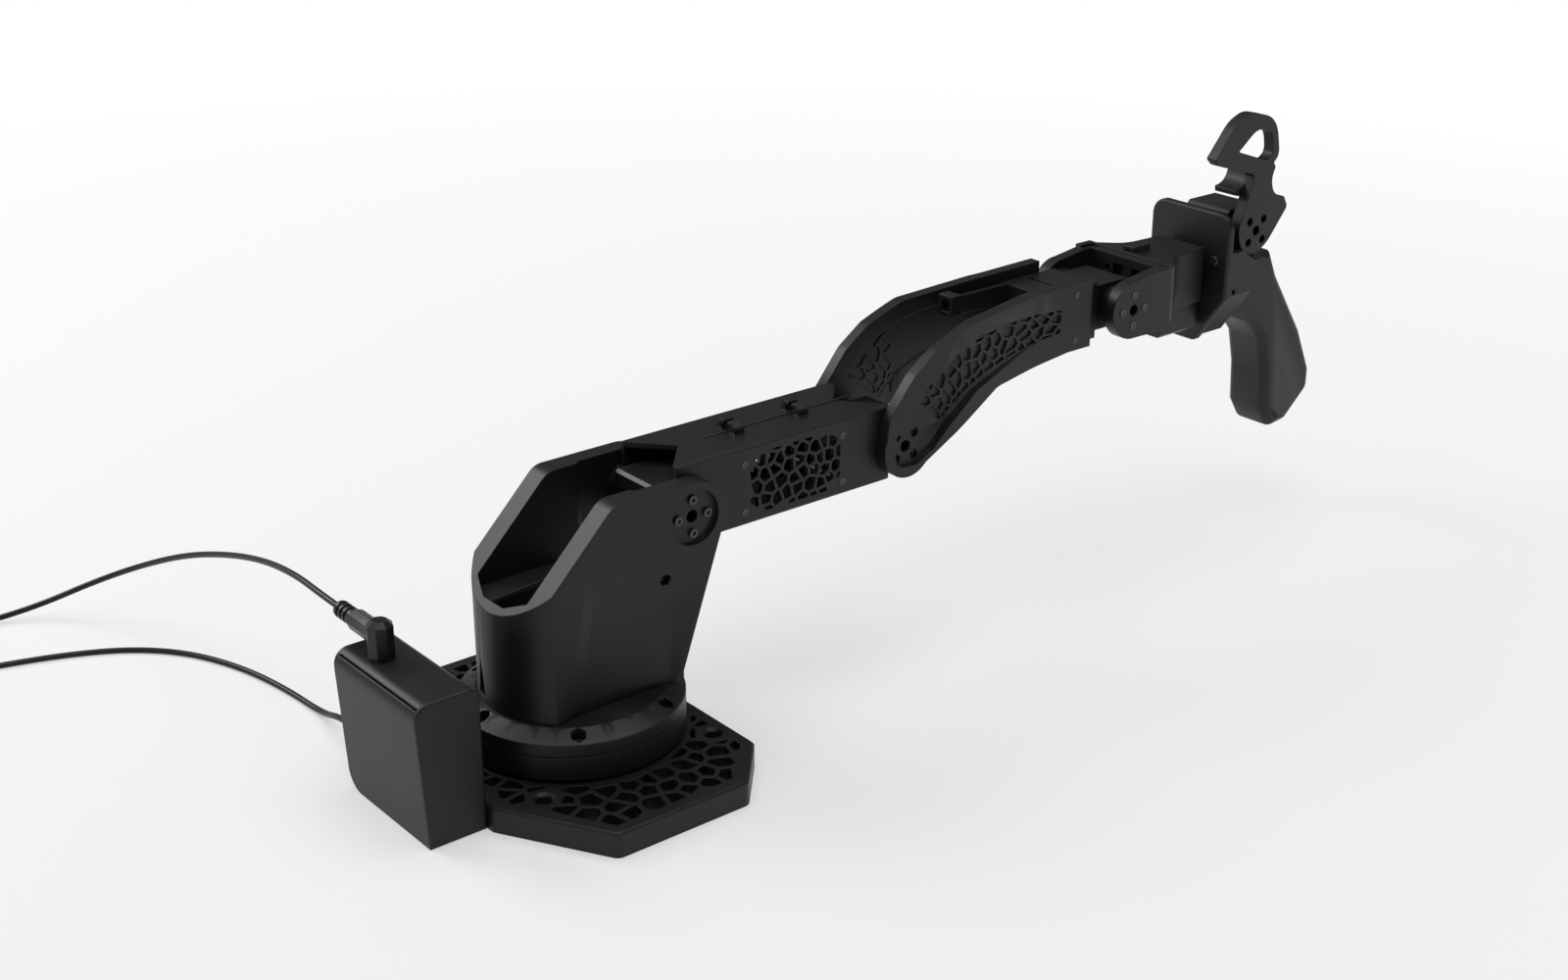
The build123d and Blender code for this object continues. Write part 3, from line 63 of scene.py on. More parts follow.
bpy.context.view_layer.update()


class Colour(Enum):
    """Linear colours of the object's finishes."""

    BODY = (0.0064, 0.0066, 0.0071)
    MOTOR = (0.0052, 0.0054, 0.0059)
    HORN = (0.010, 0.010, 0.0108)
    STEEL = (0.060, 0.060, 0.063)
    BOARD = (0.006, 0.05, 0.022)
    JACKET = (0.0060, 0.0060, 0.0064)
    PLUG = (0.0066, 0.0066, 0.0070)
    CAGE = (0.35, 0.33, 0.29)

    @property
    def rgba(self) -> tuple[float, float, float, float]:
        """The colour with full alpha."""
        return (*self.value, 1.0)


class Value:
    """A shader socket that takes part in Python expressions; each operator adds a Math node."""

    def __init__(self, book: "NodeBook", socket: bpy.types.NodeSocket) -> None:
        """Wraps an output socket of a node tree.

        Args:
            book: the node book that owns the tree.
            socket: the output socket.
        """
        self.book = book
        self.socket = socket

    def _math(self, operation: str, *values: "Operand") -> "Value":
        """Adds a Math node.

        Args:
            operation: the node's operation.
            values: its inputs in order.

        Returns:
            The node's result.
        """
        inputs = dict(enumerate(values))
        return self.book.node("ShaderNodeMath", {"operation": operation}, inputs)

    def __add__(self, other: "Operand") -> "Value":
        """Sum of both."""
        return self._math("ADD", self, other)

    __radd__ = __add__

    def __sub__(self, other: "Operand") -> "Value":
        """Difference of both."""
        return self._math("SUBTRACT", self, other)

    def __mul__(self, other: "Operand") -> "Value":
        """Product of both."""
        return self._math("MULTIPLY", self, other)

    __rmul__ = __mul__


Operand = Union[float, Value]


class NodeBook:
    """Node tree of one material or world, with one method that makes every node."""

    def __init__(self, name: str, world: Optional[bpy.types.World] = None) -> None:
        """Starts an empty material, or empties a world's tree.

        Args:
            name: the material's name.
            world: the world that gets the nodes, if they aren't a material's.
        """
        self.material = world or bpy.data.materials.new(name)
        self.material.use_nodes = True
        self.tree = self.material.node_tree
        self.tree.nodes.clear()

    def node(self, kind: str, settings: dict, inputs: dict, output: Union[int, str] = 0) -> Value:
        """Makes a node, sets it up and fills its sockets.

        Args:
            kind: the node's type.
            settings: attributes that are set first.
            inputs: values or links, by the socket's name or number.
            output: name or number of the output that is wanted.

        Returns:
            The wanted output, wrapped.
        """
        made = self.tree.nodes.new(kind)
        for name, value in settings.items():
            setattr(made, name, value)
        for name, value in inputs.items():
            if isinstance(value, Value):
                self.tree.links.new(value.socket, made.inputs[name])
            else:
                made.inputs[name].default_value = value
        socket = made.outputs[output] if len(made.outputs) else None
        return Value(self, socket)

    def place(self) -> Value:
        """Object coordinates, in metres."""
        return self.node("ShaderNodeTexCoord", {}, {}, "Object")

    def noise(self, place: Value, scale: float, detail: float) -> Value:
        """Soft noise from 0 to 1.

        Args:
            place: where the pattern is read.
            scale: features per metre.
            detail: octaves.

        Returns:
            The noise value.
        """
        inputs = {"Vector": place, "Scale": scale, "Detail": detail}
        return self.node("ShaderNodeTexNoise", {}, inputs, "Fac")


@dataclass(frozen=True)
class Finish:
    """A moulded, printed or metal surface with fine grain, uneven gloss and softened edges."""

    name: str
    colour: Colour
    roughness: float
    spread: float = 0.06
    grain: float = 2600.0
    relief: float = 0.00004
    metal: float = 0.0
    edge: float = 0.0005
    wear: float = 0.35
    gloss: float = 0.34
    haze_scale: float = 38.0
    grain_spread: float = 0.05
    bump: float = 0.35

    def build(self) -> bpy.types.Material:
        """Builds the material.

        Returns:
            The material. Roughness wanders with a coarse noise, the colour lightens a little in a
            coarse haze, and a fine noise lifts the surface, over normals rounded at the edges.
        """
        book = NodeBook(self.name)
        place = book.place()
        haze = book.noise(place, self.haze_scale, detail=4.0)
        fine = book.noise(place, self.grain, detail=2.0)
        red, green, blue = self.colour.value
        lift = 1.0 + self.wear
        light = (red * lift, green * lift, blue * lift, 1.0)
        mix = book.node(
            "ShaderNodeMix",
            {"data_type": "RGBA"},
            {0: haze, 6: self.colour.rgba, 7: light},
            2,
        )
        rough = self.roughness + self.spread * (haze - 0.5) + self.grain_spread * (fine - 0.5)
        rounded = book.node("ShaderNodeBevel", {"samples": 4}, {"Radius": self.edge})
        bump = book.node(
            "ShaderNodeBump",
            {},
            {"Height": fine, "Strength": self.bump, "Distance": self.relief, "Normal": rounded},
        )
        shader = book.node(
            "ShaderNodeBsdfPrincipled",
            {},
            {
                "Base Color": mix,
                "Roughness": rough,
                "Metallic": self.metal,
                "Specular IOR Level": self.gloss,
                "Normal": bump,
            },
        )
        book.node("ShaderNodeOutputMaterial", {}, {"Surface": shader})
        return book.material


FINISHES = (
    Finish("printed_black", Colour.BODY, 0.43, edge=0.0010),
    Finish("servo_case", Colour.MOTOR, 0.36, grain=1800.0),
    Finish("steel", Colour.STEEL, 0.26, metal=0.85, edge=0.0004),
    Finish("horn_metal", Colour.HORN, 0.38, metal=0.3, edge=0.0003),
    Finish("board", Colour.BOARD, 0.30, edge=0.0002),
    Finish("cord_jacket", Colour.JACKET, 0.34, grain=3200.0, edge=0.0001),
    Finish("plug_plastic", Colour.PLUG, 0.36),
    Finish("cage_plastic", Colour.CAGE, 0.50, edge=0.0002),
)
FINISH_MATERIALS: dict[str, bpy.types.Material] = {}


def placed(
    name: str, data: Union[bpy.types.Mesh, bpy.types.Curve], finish: str
) -> bpy.types.Object:
    """Makes an object of a mesh or curve, with its finish, and links it to the scene.

    Args:
        name: the object's name.
        data: the mesh or curve.
        finish: the finish's name.

    Returns:
        The object.
    """
    piece = bpy.data.objects.new(name, data)
    data.materials.clear()
    data.materials.append(FINISH_MATERIALS[finish])
    bpy.context.scene.collection.objects.link(piece)
    return piece


def settled(work: bmesh.types.BMesh, name: str, smooth: bool) -> bpy.types.Mesh:
    """Turns a bmesh into a mesh with its normals outward, and frees it.

    Args:
        work: the bmesh.
        name: the mesh's name.
        smooth: whether its faces are shaded smooth.

    Returns:
        The mesh.
    """
    bmesh.ops.recalc_face_normals(work, faces=work.faces)
    for face in work.faces:
        face.smooth = smooth
    mesh = bpy.data.meshes.new(name)
    work.to_mesh(mesh)
    work.free()
    return mesh


def solid(name: str, points: list, faces: list, smooth: bool) -> bpy.types.Mesh:
    """Makes a closed mesh of points and faces.

    Args:
        name: the mesh's name.
        points: x, y, z of each point in metres.
        faces: the points' numbers round each face, in either direction.
        smooth: whether its faces are shaded smooth.

    Returns:
        The mesh, with its normals outward.
    """
    draft = bpy.data.meshes.new(f"{name}_draft")
    draft.from_pydata(points, [], faces)
    work = bmesh.new()
    work.from_mesh(draft)
    bpy.data.meshes.remove(draft)
    return settled(work, name, smooth)


@dataclass
class Studio:
    """Camera at the photograph's angle, pale floor and soft lamps."""

    position: tuple[float, float, float] = (-0.59551, -0.9238, 0.620)
    tilt: float = 67.2
    heading: float = -39.1
    lens: float = 50.0
    sensor: float = 36.0
    reach: float = 60.0
    floor_radius: float = 50.0
    floor_sides: int = 96
    floor_tone: float = 0.72
    floor_white: float = 0.40
    floor_painted_brightening: float = 0.34
    world_strength: float = 0.14
    centre: tuple[float, float, float] = (0.2, 0.0, 0.1)

    def camera(self) -> None:
        """Places the camera and makes it the scene's."""
        data = bpy.data.cameras.new("camera")
        data.lens = self.lens
        data.sensor_width = self.sensor
        data.clip_end = self.reach
        camera = bpy.data.objects.new("camera", data)
        camera.location = self.position
        camera.rotation_euler = (radians(self.tilt), 0.0, radians(self.heading))
        bpy.context.scene.collection.objects.link(camera)
        bpy.context.scene.camera = camera

    def floor(self) -> None:
        """Makes a round pale floor; it shows white to the camera with the object's shadow kept.

        The white share grows with the distance from the origin, so the far floor is pure white:
        painted light, a brightening that stands in for how light falls over the floor.
        """
        turns = np.linspace(0.0, 2.0 * pi, self.floor_sides, endpoint=False)
        rim = np.stack([np.cos(turns), np.sin(turns), np.zeros_like(turns)], axis=1)
        mesh = bpy.data.meshes.new("floor")
        mesh.from_pydata((rim * self.floor_radius).tolist(), [], [list(range(len(turns)))])
        floor = bpy.data.objects.new("floor", mesh)
        bpy.context.scene.collection.objects.link(floor)
        book = NodeBook("floor_paper")
        tone = (self.floor_tone, self.floor_tone, self.floor_tone, 1.0)
        paper = book.node("ShaderNodeBsdfDiffuse", {}, {"Color": tone})
        white = book.node("ShaderNodeEmission", {}, {"Strength": 1.0})
        seen = book.node("ShaderNodeLightPath", {}, {}, "Is Camera Ray")
        glossy = book.node("ShaderNodeLightPath", {}, {}, "Is Glossy Ray")
        away = book.node("ShaderNodeVectorMath", {"operation": "LENGTH"}, {0: book.place()}, "Value")
        # painted light: the white share grows with distance, so the floor is painted brighter further
        # off
        share = (seen + glossy) * (self.floor_white + self.floor_painted_brightening * away)
        share = book.node("ShaderNodeClamp", {}, {"Value": share, "Min": 0.0, "Max": 1.0})
        floor_mix = book.node("ShaderNodeMixShader", {}, {0: share, 1: paper, 2: white})
        book.node("ShaderNodeOutputMaterial", {}, {"Surface": floor_mix})
        mesh.materials.append(book.material)

    def lamp(self, name: str, place: tuple, size: float, power: float) -> None:
        """Adds a square area lamp that faces the studio's centre.

        Args:
            name: the lamp's name.
            place: where it stands, in metres.
            size: its side.
            power: its power in watts.
        """
        data = bpy.data.lights.new(name, "AREA")
        data.size = size
        data.energy = power
        lamp = bpy.data.objects.new(name, data)
        lamp.location = place
        away = np.array(place) - np.array(self.centre)
        heading = np.arctan2(away[0], -away[1])
        tilt = np.arctan2(np.hypot(away[0], away[1]), away[2])
        lamp.rotation_euler = (tilt, 0.0, heading)
        bpy.context.scene.collection.objects.link(lamp)

    def light(self) -> None:
        """Lights the object: a broad soft lamp above, one from the left and a large one behind left.

        The lamp behind left stands where the slopes that face left mirror it to the camera.
        """
        self.lamp("overhead", (0.3, -0.2, 2.6), size=2.6, power=56.0)
        self.lamp("left", (-2.3, 0.3, 1.3), size=1.4, power=5.0)
        self.lamp("behind_left", (-0.95, 2.1, 1.75), size=1.5, power=44.0)
        world = bpy.data.worlds.new("studio")
        book = NodeBook("studio", world)
        seen = book.node("ShaderNodeLightPath", {}, {}, "Is Camera Ray")
        strength = self.world_strength + (1.0 - self.world_strength) * seen
        white = (1.0, 1.0, 1.0, 1.0)
        sky = book.node("ShaderNodeBackground", {}, {"Color": white, "Strength": strength})
        book.node("ShaderNodeOutputWorld", {}, {"Surface": sky})
        bpy.context.scene.world = world
        bpy.context.scene.view_settings.view_transform = "Standard"

    def build(self) -> None:
        """Makes camera, floor and light."""
        self.camera()
        self.floor()
        self.light()


@dataclass
class Lead:
    """A lead: the route to its coil, the coil's turns and the short way out to its far plug."""

    name: str
    route: list
    centre: tuple[float, float]
    columns: int
    length: float
    plug_point: tuple[float, float, float]
    far_end: str
    pieces: tuple
    nodes: tuple
    first_angle: float = 80.0
    diameter: float = 3.8
    turn_radius: float = 22.0
    spacing: float = 3.9
    clearance: float = 0.1
    climb_turns: float = 0.25
    tail: tuple[float, float] = (9.0, 0.2)
    steps: int = 16

    def turns(self) -> np.ndarray:
        """Control points of the coil.

        Returns:
            Points in millimetres. The lower layer winds inward by one spacing a turn, climbs by
            about one spacing in climb_turns of a turn, and the upper layer winds outward again.
            Control points lie outside the curve by the factor 1 / cos(pi / steps).
        """
        outer = self.turn_radius + self.spacing * (self.columns - 1) / 2 + self.spacing / 2
        count = self.columns * self.steps
        turn = np.arange(2 * count + 1) / self.steps
        inward = np.minimum(turn, self.columns)
        outward = np.maximum(turn - self.columns, 0.0)
        radius = (outer - self.spacing * inward + self.spacing * outward) / cos(pi / self.steps)
        climb = np.sin(np.clip(outward / self.climb_turns, 0.0, 1.0) * pi / 2)
        height = self.diameter / 2 + self.clearance + (self.spacing - self.clearance / 2) * climb
        angle = np.radians(self.first_angle) + 2.0 * pi * turn
        x = self.centre[0] + radius * np.cos(angle)
        y = self.centre[1] + radius * np.sin(angle)
        return np.stack([x, y, height], axis=1)

    def build(self) -> bpy.types.Object:
        """Makes the lead as one open NURBS spline.

        Returns:
            The curve object, with the cord jacket finish, on the base's body.
        """
        coil = self.turns()
        px, py, pz = self.plug_point
        tail = [[px + self.tail[0], py + self.tail[1], (coil[-1][2] + pz) / 2], [px, py, pz]]
        points = np.concatenate([np.array(self.route), coil, np.array(tail)]) * MM
        data = bpy.data.curves.new(self.name, "CURVE")
        data.dimensions = "3D"
        spline = data.splines.new("NURBS")
        spline.points.add(len(points) - 1)
        flat = np.concatenate([points, np.ones((len(points), 1))], axis=1).ravel()
        spline.points.foreach_set("co", flat)
        spline.order_u = 3
        spline.use_endpoint_u = True
        spline.resolution_u = 6
        data.bevel_depth = self.diameter / 2 * MM
        data.bevel_resolution = 5
        data.use_fill_caps = True
        lead = placed(self.name, data, "cord_jacket")
        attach(lead, "base")
        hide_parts(*self.nodes)
        log.info("%s laid with %d points", self.name, len(points))
        return lead


POWER_LEAD = Lead(
    name="power_lead",
    route=[
        (-106.7, 63.1, 98.5),
        (-107.0, 84.0, 99.0),
        (-105.0, 118.0, 98.0),
        (-103.5, 160.0, 91.5),
        (-105.0, 205.0, 80.0),
        (-111.0, 252.0, 65.0),
        (-122.0, 296.0, 46.0),
        (-141.0, 334.0, 26.0),
        (-170.0, 358.0, 9.0),
        (-202.0, 369.5, 2.0),
        (-229.5, 373.2, 2.0),
    ],
    centre=(-248.0, 347.4),
    columns=4,
    length=1.5,
    plug_point=(-272.1, 369.4, 5.6),
    far_end="connector",
    pieces=("dc_plug", "power_end_plug"),
    nodes=("power_cord", "power_coil"),
)

DATA_LEAD = Lead(
    name="data_lead",
    route=[
        (-97.2, 67.5, 15.0),
        (-96.4, 94.0, 14.0),
        (-93.0, 124.0, 2.0),
        (-95.5, 166.0, 2.0),
        (-104.0, 210.0, 2.0),
        (-121.0, 249.0, 2.0),
        (-147.0, 276.0, 2.0),
        (-180.0, 293.0, 2.0),
        (-214.0, 304.0, 2.0),
        (-245.5, 311.6, 2.0),
    ],
    centre=(-262.8, 287.2),
    columns=3,
    length=1.2,
    plug_point=(-286.8, 309.2, 4.1),
    far_end="plug",
    pieces=("data_plug", "data_end_plug"),
    nodes=("data_cord", "data_coil"),
)


def round_corners(piece: bpy.types.Object, radius: float) -> None:
    """Rounds every corner sharper than CORNER_ANGLE with a bevel modifier.

    Args:
        piece: the piece.
        radius: the bevel's width in millimetres.
    """
    rounding = piece.modifiers.new("rounding", "BEVEL")
    rounding.width = radius * MM
    rounding.segments = CORNER_SEGMENTS
    rounding.limit_method = "ANGLE"
    rounding.angle_limit = CORNER_ANGLE
    rounding.harden_normals = True


@dataclass
class Moulding:
    """A moulded piece with rounded corners: the CAD solid's copy, merged and bevelled."""

    node: str
    radius: float

    def merged(self) -> bpy.types.Mesh:
        """Copies the solid's triangles into one closed mesh with flat faces whole again.

        Returns:
            The mesh, smooth where neighbours meet at less than SMOOTH_ANGLE.
        """
        mesh = frame["nodes"][self.node].data.copy()
        work = bmesh.new()
        work.from_mesh(mesh)
        bmesh.ops.remove_doubles(work, verts=work.verts, dist=MERGE_DISTANCE)
        bmesh.ops.dissolve_limit(
            work, angle_limit=FLAT_ANGLE, verts=work.verts, edges=work.edges, delimit={"NORMAL"}
        )
        for face in work.faces:
            face.smooth = True
        work.to_mesh(mesh)
        work.free()
        mesh.set_sharp_from_angle(angle=SMOOTH_ANGLE)
        return mesh

    def build(self, body: str, slot: str) -> bpy.types.Object:
        """Makes the piece in place of its node.

        Args:
            body: the body that carries it.
            slot: the slot of its finish.

        Returns:
            The piece, with a bevel modifier.
        """
        piece = placed(f"{self.node}_moulding", self.merged(), slot)
        round_corners(piece, self.radius)
        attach(piece, body)
        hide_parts(self.node)
        log.info("%s rounded by %.1f mm", self.node, self.radius)
        return piece


MOULDINGS = [
    Moulding("grip", 2.0),
    Moulding("turret_shell", 1.2),
    Moulding("base_plate", 1.2),
    Moulding("handle_frame", 1.2),
    Moulding("wrist_bracket", 1.0),
    Moulding("forearm_near_plate", 1.0),
    Moulding("forearm_far_plate", 1.0),
    Moulding("upper_arm_near_shell", 0.8),
    Moulding("upper_arm_far_shell", 0.8),
    Moulding("turntable", 0.6),
    Moulding("wrist_cradle", 0.6),
    Moulding("controller_shell", 0.8),
    Moulding("dc_plug", 0.5),
    Moulding("data_plug", 0.6),
    Moulding("power_end_plug", 0.5),
    Moulding("data_end_plug", 0.6),
    Moulding("shoulder_servo", 0.5),
    Moulding("elbow_servo", 0.5),
    Moulding("wrist_servo", 0.5),
    Moulding("roll_servo", 0.5),
    Moulding("trigger_servo", 0.5),
]


def rounded(corners: list, steps: int = 8) -> np.ndarray:
    """Rounds a closed outline.

    Args:
        corners: x, y and cut of each corner; the cut is how far from the corner its curve starts.
        steps: straight pieces of each curve.

    Returns:
        The outline's points. Each corner C becomes the curve (1-t)^2 A + 2t(1-t) C + t^2 B, with A
        and B one cut before and after it.
    """
    table = np.array(corners, float)
    point = table[:, :2]
    cut = table[:, 2:]
    before = np.roll(point, 1, axis=0) - point
    after = np.roll(point, -1, axis=0) - point
    start = point + before / np.linalg.norm(before, axis=1, keepdims=True) * cut
    end = point + after / np.linalg.norm(after, axis=1, keepdims=True) * cut
    t = np.linspace(0.0, 1.0, steps + 1)[None, :, None]
    curves = (1 - t) ** 2 * start[:, None] + 2 * t * (1 - t) * point[:, None] + t**2 * end[:, None]
    return curves.reshape(-1, 2)


def circle(x: float, y: float, radius: float, steps: int = 32) -> np.ndarray:
    """Points of a circle: the centre plus radius times (cos a, sin a).

    Args:
        x: the centre's x.
        y: the centre's y.
        radius: the radius.
        steps: number of points.

    Returns:
        The points.
    """
    angle = np.linspace(0.0, 2.0 * pi, steps, endpoint=False)
    return np.stack([x + radius * np.cos(angle), y + radius * np.sin(angle)], axis=1)


@dataclass
class Plate:
    """A flat piece cut from an outline with openings, upright along X and Z."""

    outline: np.ndarray
    openings: list
    origin: tuple[float, float, float]
    near: float
    far: float
    least_step: float = 0.02

    def mesh(self, name: str) -> bpy.types.Mesh:
        """Makes the plate's closed mesh.

        Args:
            name: the mesh's name.

        Returns:
            The mesh: the outline's x goes to X and its y to Z, its inside is filled round the
            openings, and the thickness runs along Y from near to far.
        """
        ox, oy, oz = self.origin
        work = bmesh.new()
        rims = []
        for line in [self.outline, *self.openings]:
            apart = np.linalg.norm(line - np.roll(line, 1, axis=0), axis=1) > self.least_step
            places = [(ox + x, oy + self.near, oz + z) for x, z in line[apart]]
            spots = [work.verts.new([value * MM for value in place]) for place in places]
            rims += [work.edges.new(pair) for pair in zip(spots, spots[1:] + spots[:1])]
        bmesh.ops.triangle_fill(work, edges=rims, use_beauty=True, use_dissolve=False)
        grown = bmesh.ops.extrude_face_region(work, geom=list(work.faces), use_keep_orig=True)
        moved = [item for item in grown["geom"] if isinstance(item, bmesh.types.BMVert)]
        bmesh.ops.translate(work, verts=moved, vec=(0.0, (self.far - self.near) * MM, 0.0))
        return settled(work, name, smooth=True)


def joined(name: str, meshes: list) -> bpy.types.Mesh:
    """Puts several closed meshes into one.

    Args:
        name: the new mesh's name.
        meshes: the meshes.

    Returns:
        The mesh that holds them all.
    """
    work = bmesh.new()
    for part in meshes:
        work.from_mesh(part)
    whole = bpy.data.meshes.new(name)
    work.to_mesh(whole)
    work.free()
    whole.set_sharp_from_angle(angle=SMOOTH_ANGLE)
    return whole


@dataclass
class TriggerLever:
    """The trigger: a flat lever with a finger loop, five holes over the horn and a finger rest."""

    axis: tuple[float, float, float] = (538.7, 0.0, 215.5)
    hub: float = 3.4
    screw_circle: float = 10.0
    screw_hole: float = 2.9
    rest_depth: float = 16.0
    rest_root: float = 2.0
    rim: float = 0.9
    outline: list = field(default_factory=lambda: [
        (-47.0, 55.0, 1.6), (-28.0, 76.8, 6.0), (-14.5, 82.0, 6.0), (12.2, 75.4, 13.5),
        (18.6, 45.8, 9.0), (12.7, 44.6, 0.8), (15.0, 41.2, 1.2), (12.2, 34.7, 3.4),
        (13.1, 27.7, 3.4), (16.9, 22.1, 3.2), (26.7, 19.2, 1.6), (30.8, 11.5, 2.4),
        (12.4, -10.4, 5.0), (1.0, -16.6, 6.4), (-13.5, -12.6, 6.8), (-18.5, 2.4, 6.0),
        (-13.4, 16.1, 2.0), (-5.9, 37.7, 1.0), (-7.3, 39.5, 1.0), (-42.3, 50.4, 1.6),
    ])
    loop: list = field(default_factory=lambda: [
        (-24.2, 57.2, 1.4), (-7.5, 69.8, 6.0), (8.6, 67.4, 7.6), (11.6, 50.0, 6.0), (4.6, 47.2, 2.0),
    ])
    rest: list = field(default_factory=lambda: [
        (-17.0, 29.0, 0.8), (-7.4, 29.6, 8.6), (-4.6, 39.8, 0.8), (6.0, 37.0, 1.0), (8.0, 28.5, 1.0),
        (-7.0, 23.8, 2.4), (-16.4, 25.2, 0.8),
    ])

    def build(self) -> bpy.types.Object:
        """Makes the lever in place of its solid.

        Returns:
            The piece, on the trigger's body. Its faces lie at the solid's faces.
        """
        low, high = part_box("trigger_lever")
        near = low[1] / MM
        back = high[1] / MM - self.rest_depth
        holes = [circle(0.0, 0.0, self.hub)]
        for turn in range(4):
            angle = pi / 4 + pi / 2 * turn
            x, z = self.screw_circle * cos(angle), self.screw_circle * sin(angle)
            holes.append(circle(x, z, self.screw_hole))
        lever = Plate(rounded(self.outline), [rounded(self.loop), *holes], self.axis, near, back)
        shelf = Plate(rounded(self.rest), [], self.axis, back - self.rest_root, back + self.rest_depth)
        mesh = joined("trigger_lever_round", [lever.mesh("lever"), shelf.mesh("finger_rest")])
        piece = placed("trigger_lever_round", mesh, "printed_black")
        round_corners(piece, self.rim)
        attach(piece, "trigger")
        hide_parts("trigger_lever")
        log.info("trigger lever with finger loop and rest")
        return piece


@dataclass
class SeamBead:
    """The raised rounded edge along the seam on top of the upper arm."""

    start: float = 96.0
    end: float = 206.0
    clip_height: float = 6.5
    radius: float = 1.0
    flatness: float = 0.8
    tip: float = 0.02
    steps: int = 10

    def build(self) -> bpy.types.Object:
        """Makes the bead.

        Returns:
            The piece: a flattened round bar along X, half sunk into the shells, with width
            r cos a and height flatness r sin a. Near an end, r falls as sqrt(1 - (1 - s)^2), with
            s the distance from the end in radii.
        """
        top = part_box("upper_arm_near_shell")[1][2] / MM - self.clip_height
        inward = self.radius * (1 - np.sin(np.linspace(0.0, pi / 2, self.steps + 1)))
        x = np.sort(np.concatenate([self.start + inward[::-1], self.end - inward]))
        inset = np.minimum(np.minimum(x - self.start, self.end - x) / self.radius, 1.0)
        size = self.radius * np.sqrt(np.clip(1.0 - (1.0 - inset) ** 2, self.tip**2, 1.0))
        angle = np.linspace(0.0, 2.0 * pi, 4 * self.steps, endpoint=False)
        y = size[:, None] * np.cos(angle)[None, :]
        z = top + size[:, None] * np.sin(angle)[None, :] * self.flatness
        points = np.stack([np.repeat(x[:, None], len(angle), axis=1), y, z], axis=2) * MM
        piece = tube("upper_arm_seam_bead", points, "printed_black")
        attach(piece, "upper_arm")
        log.info("seam bead from %.0f to %.0f mm", self.start, self.end)
        return piece


@dataclass
class InnerShelf:
    """The flat shelf inside the turret, along the far cheek's inner face."""

    top: float = 106.4
    thickness: float = 3.0
    rim: float = 0.5
    outline: list = field(default_factory=lambda: [
        (-43.6, 24.9), (-48.4, 12.0), (-48.4, 4.0), (14.0, 12.0), (14.0, 24.9),
    ])

    def build(self) -> bpy.types.Object:
        """Makes the shelf.

        Returns:
            The piece, on the turret's body, let a little into the walls that it joins.
        """
        count = len(self.outline)
        levels = (self.top - self.thickness, self.top)
        points = [(x * MM, y * MM, z * MM) for z in levels for x, y in self.outline]
        faces = [list(range(count)), list(range(count, 2 * count))]
        faces += [[i, (i + 1) % count, (i + 1) % count + count, i + count] for i in range(count)]
        mesh = solid("turret_inner_shelf", points, faces, smooth=False)
        piece = placed("turret_inner_shelf", mesh, "printed_black")
        round_corners(piece, self.rim)
        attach(piece, "turret")
        log.info("inner shelf at %.0f mm", self.top)
        return piece


@dataclass
class InnerCells:
    """The cell lattice in the far forearm plate's inner recess, taken from the plate's outer web."""

    node: str = "forearm_far_plate"
    web: float = 31.6
    floor: float = 28.4
    thickness: float = 0.85
    least_facing: float = 0.999
    tolerance: float = 0.05

    def build(self) -> bpy.types.Object:
        """Makes the lattice.

        Returns:
            The piece, on the forearm's body: the web's outer face moved to the recess floor and
            given its thickness. Its faces past the recess lie inside the plate.
        """
        work = bmesh.new()
        work.from_mesh(frame["nodes"][self.node].data)
        bmesh.ops.remove_doubles(work, verts=work.verts, dist=MERGE_DISTANCE)
        others = [
            face for face in work.faces
            if face.normal.y < self.least_facing
            or abs(face.calc_center_median().y / MM - self.web) > self.tolerance
        ]
        bmesh.ops.delete(work, geom=others, context="FACES")
        bmesh.ops.dissolve_limit(work, angle_limit=FLAT_ANGLE, verts=work.verts, edges=work.edges)
        for vert in work.verts:
            vert.co.y = self.floor * MM
        grown = bmesh.ops.extrude_face_region(work, geom=work.faces[:])["geom"]
        for item in grown:
            if isinstance(item, bmesh.types.BMVert):
                item.co.y -= self.thickness * MM
        mesh = settled(work, "forearm_inner_cells", smooth=False)
        piece = placed("forearm_inner_cells", mesh, "printed_black")
        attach(piece, "forearm")
        log.info("inner cells with %d faces", len(mesh.polygons))
        return piece


def tube(name: str, points: np.ndarray, finish: str) -> bpy.types.Object:
    """Closes rings of points into a smooth shaded solid of quads with a flat cap at each end.

    Args:
        name: the piece's name.
        points: array of rings, points round each ring, and x, y, z in metres.
        finish: the piece's finish.

    Returns:
        The piece, sharp where neighbours meet at more than TURNED_SMOOTH_ANGLE.
    """
    rings, around = points.shape[:2]
    index = np.arange(rings * around).reshape(rings, around)
    here = index[:-1]
    ahead = index[1:]
    sides = np.stack([here, ahead, np.roll(ahead, -1, axis=1), np.roll(here, -1, axis=1)], axis=2)
    faces = sides.reshape(-1, 4).tolist() + [index[0].tolist(), index[-1][::-1].tolist()]
    mesh = solid(name, points.reshape(-1, 3).tolist(), faces, smooth=True)
    mesh.set_sharp_from_angle(angle=TURNED_SMOOTH_ANGLE)
    return placed(name, mesh, finish)


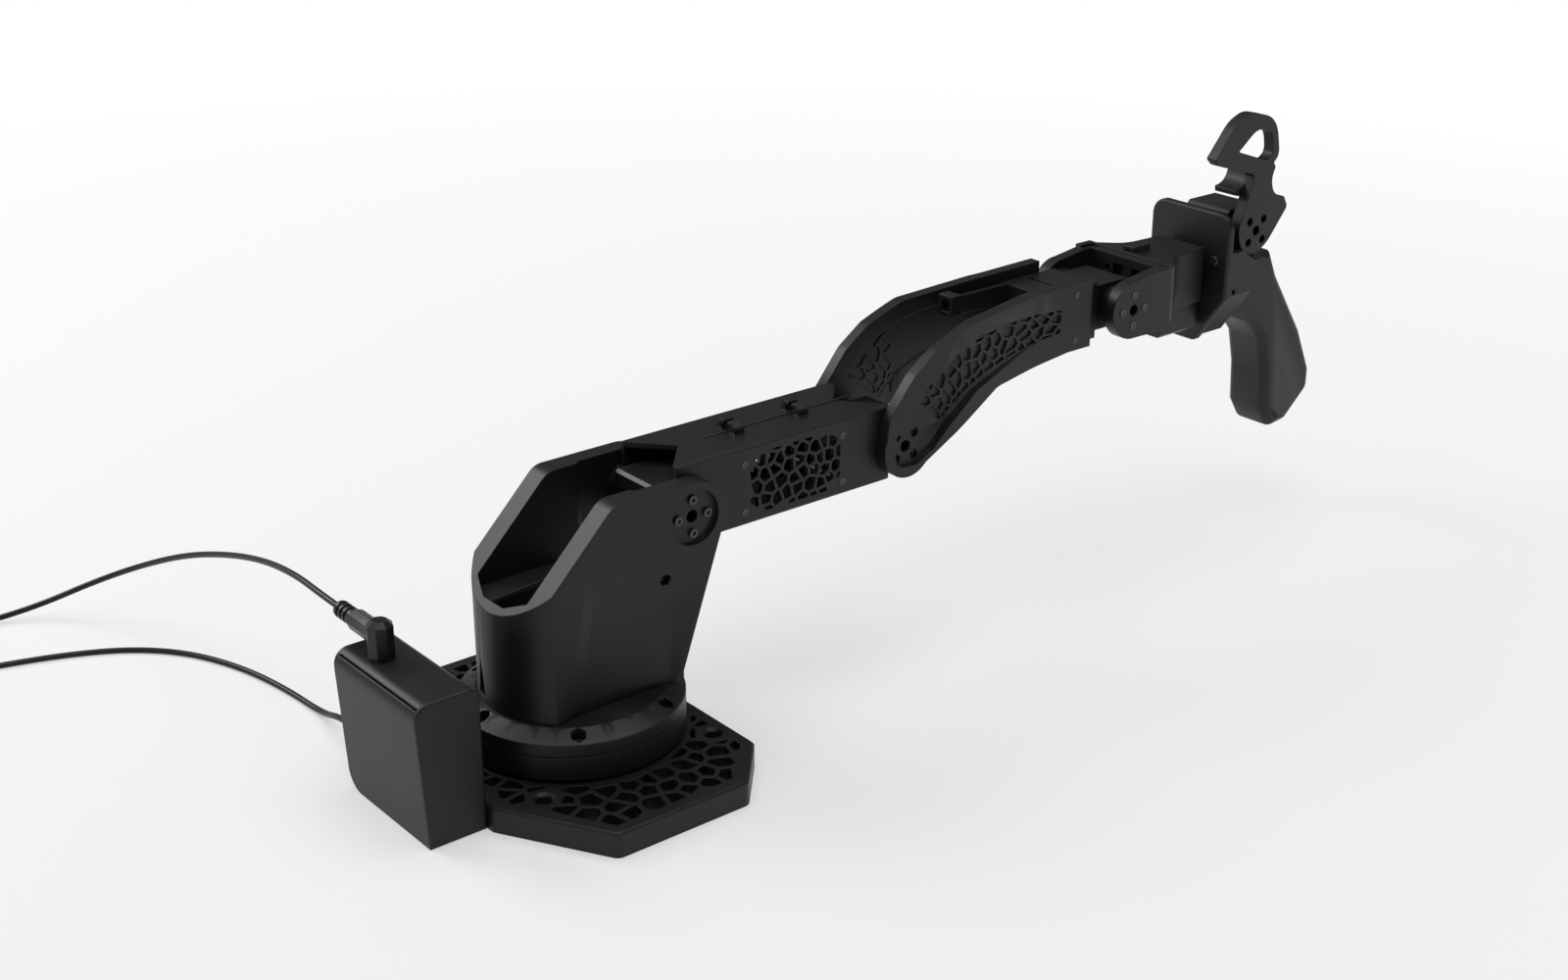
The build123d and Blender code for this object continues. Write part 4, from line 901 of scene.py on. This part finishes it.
@dataclass
class ScrewHead:
    """A raised screw head with a socket on the handle's front plate."""

    name: str
    y: float
    z: float = 200.3
    steps: int = 24
    profile: list = field(default_factory=lambda: [
        (505.2, 3.3), (502.6, 3.3), (502.0, 3.1), (501.7, 2.6), (501.7, 1.7), (503.2, 1.7),
    ])

    def build(self) -> bpy.types.Object:
        """Makes the head by turning its profile about a line along X.

        Returns:
            The piece, on the handle's body, let a little into the plate.
        """
        rings = []
        for x, radius in self.profile:
            ring = circle(self.y, self.z, radius, self.steps)
            rings.append(np.insert(ring, 0, x, axis=1))
        piece = tube(self.name, np.array(rings) * MM, "steel")
        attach(piece, "handle")
        return piece


@dataclass
class Dresser:
    """Gives every CAD node the finish of its material slot."""

    slots: dict[str, str] = field(default_factory=dict)
    carriers: dict[str, str] = field(default_factory=dict)

    def read_record(self) -> None:
        """Reads each node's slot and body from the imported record."""
        for entry in frame["record"]["subparts"]:
            self.slots[entry["node"]] = entry["material_slot"]
        for body, nodes in frame["record"]["behaviour"]["bodies"].items():
            for node in nodes:
                self.carriers[node] = body

    def dress(self, nodes: Iterable[str]) -> None:
        """Assigns the finishes.

        Args:
            nodes: names of the CAD nodes.
        """
        for name in nodes:
            piece = frame["nodes"][name]
            piece.data.materials.clear()
            piece.data.materials.append(FINISH_MATERIALS[self.slots[name]])
            log.info("%s dressed as %s", name, self.slots[name])


def main() -> None:
    """Builds finishes, studio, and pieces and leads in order."""
    logging.basicConfig(level=logging.INFO)
    for finish in FINISHES:
        FINISH_MATERIALS[finish.name] = finish.build()
    Studio().build()
    dresser = Dresser()
    dresser.read_record()
    dresser.dress(frame["nodes"])
    for moulding in MOULDINGS:
        moulding.build(dresser.carriers[moulding.node], dresser.slots[moulding.node])
    TriggerLever().build()
    SeamBead().build()
    InnerShelf().build()
    InnerCells().build()
    for name, y in (("handle_screw_head_near", -24.5), ("handle_screw_head_far", 24.5)):
        ScrewHead(name, y).build()
    for lead in (POWER_LEAD, DATA_LEAD):
        lead.build()


if __name__ == "__main__":
    main()
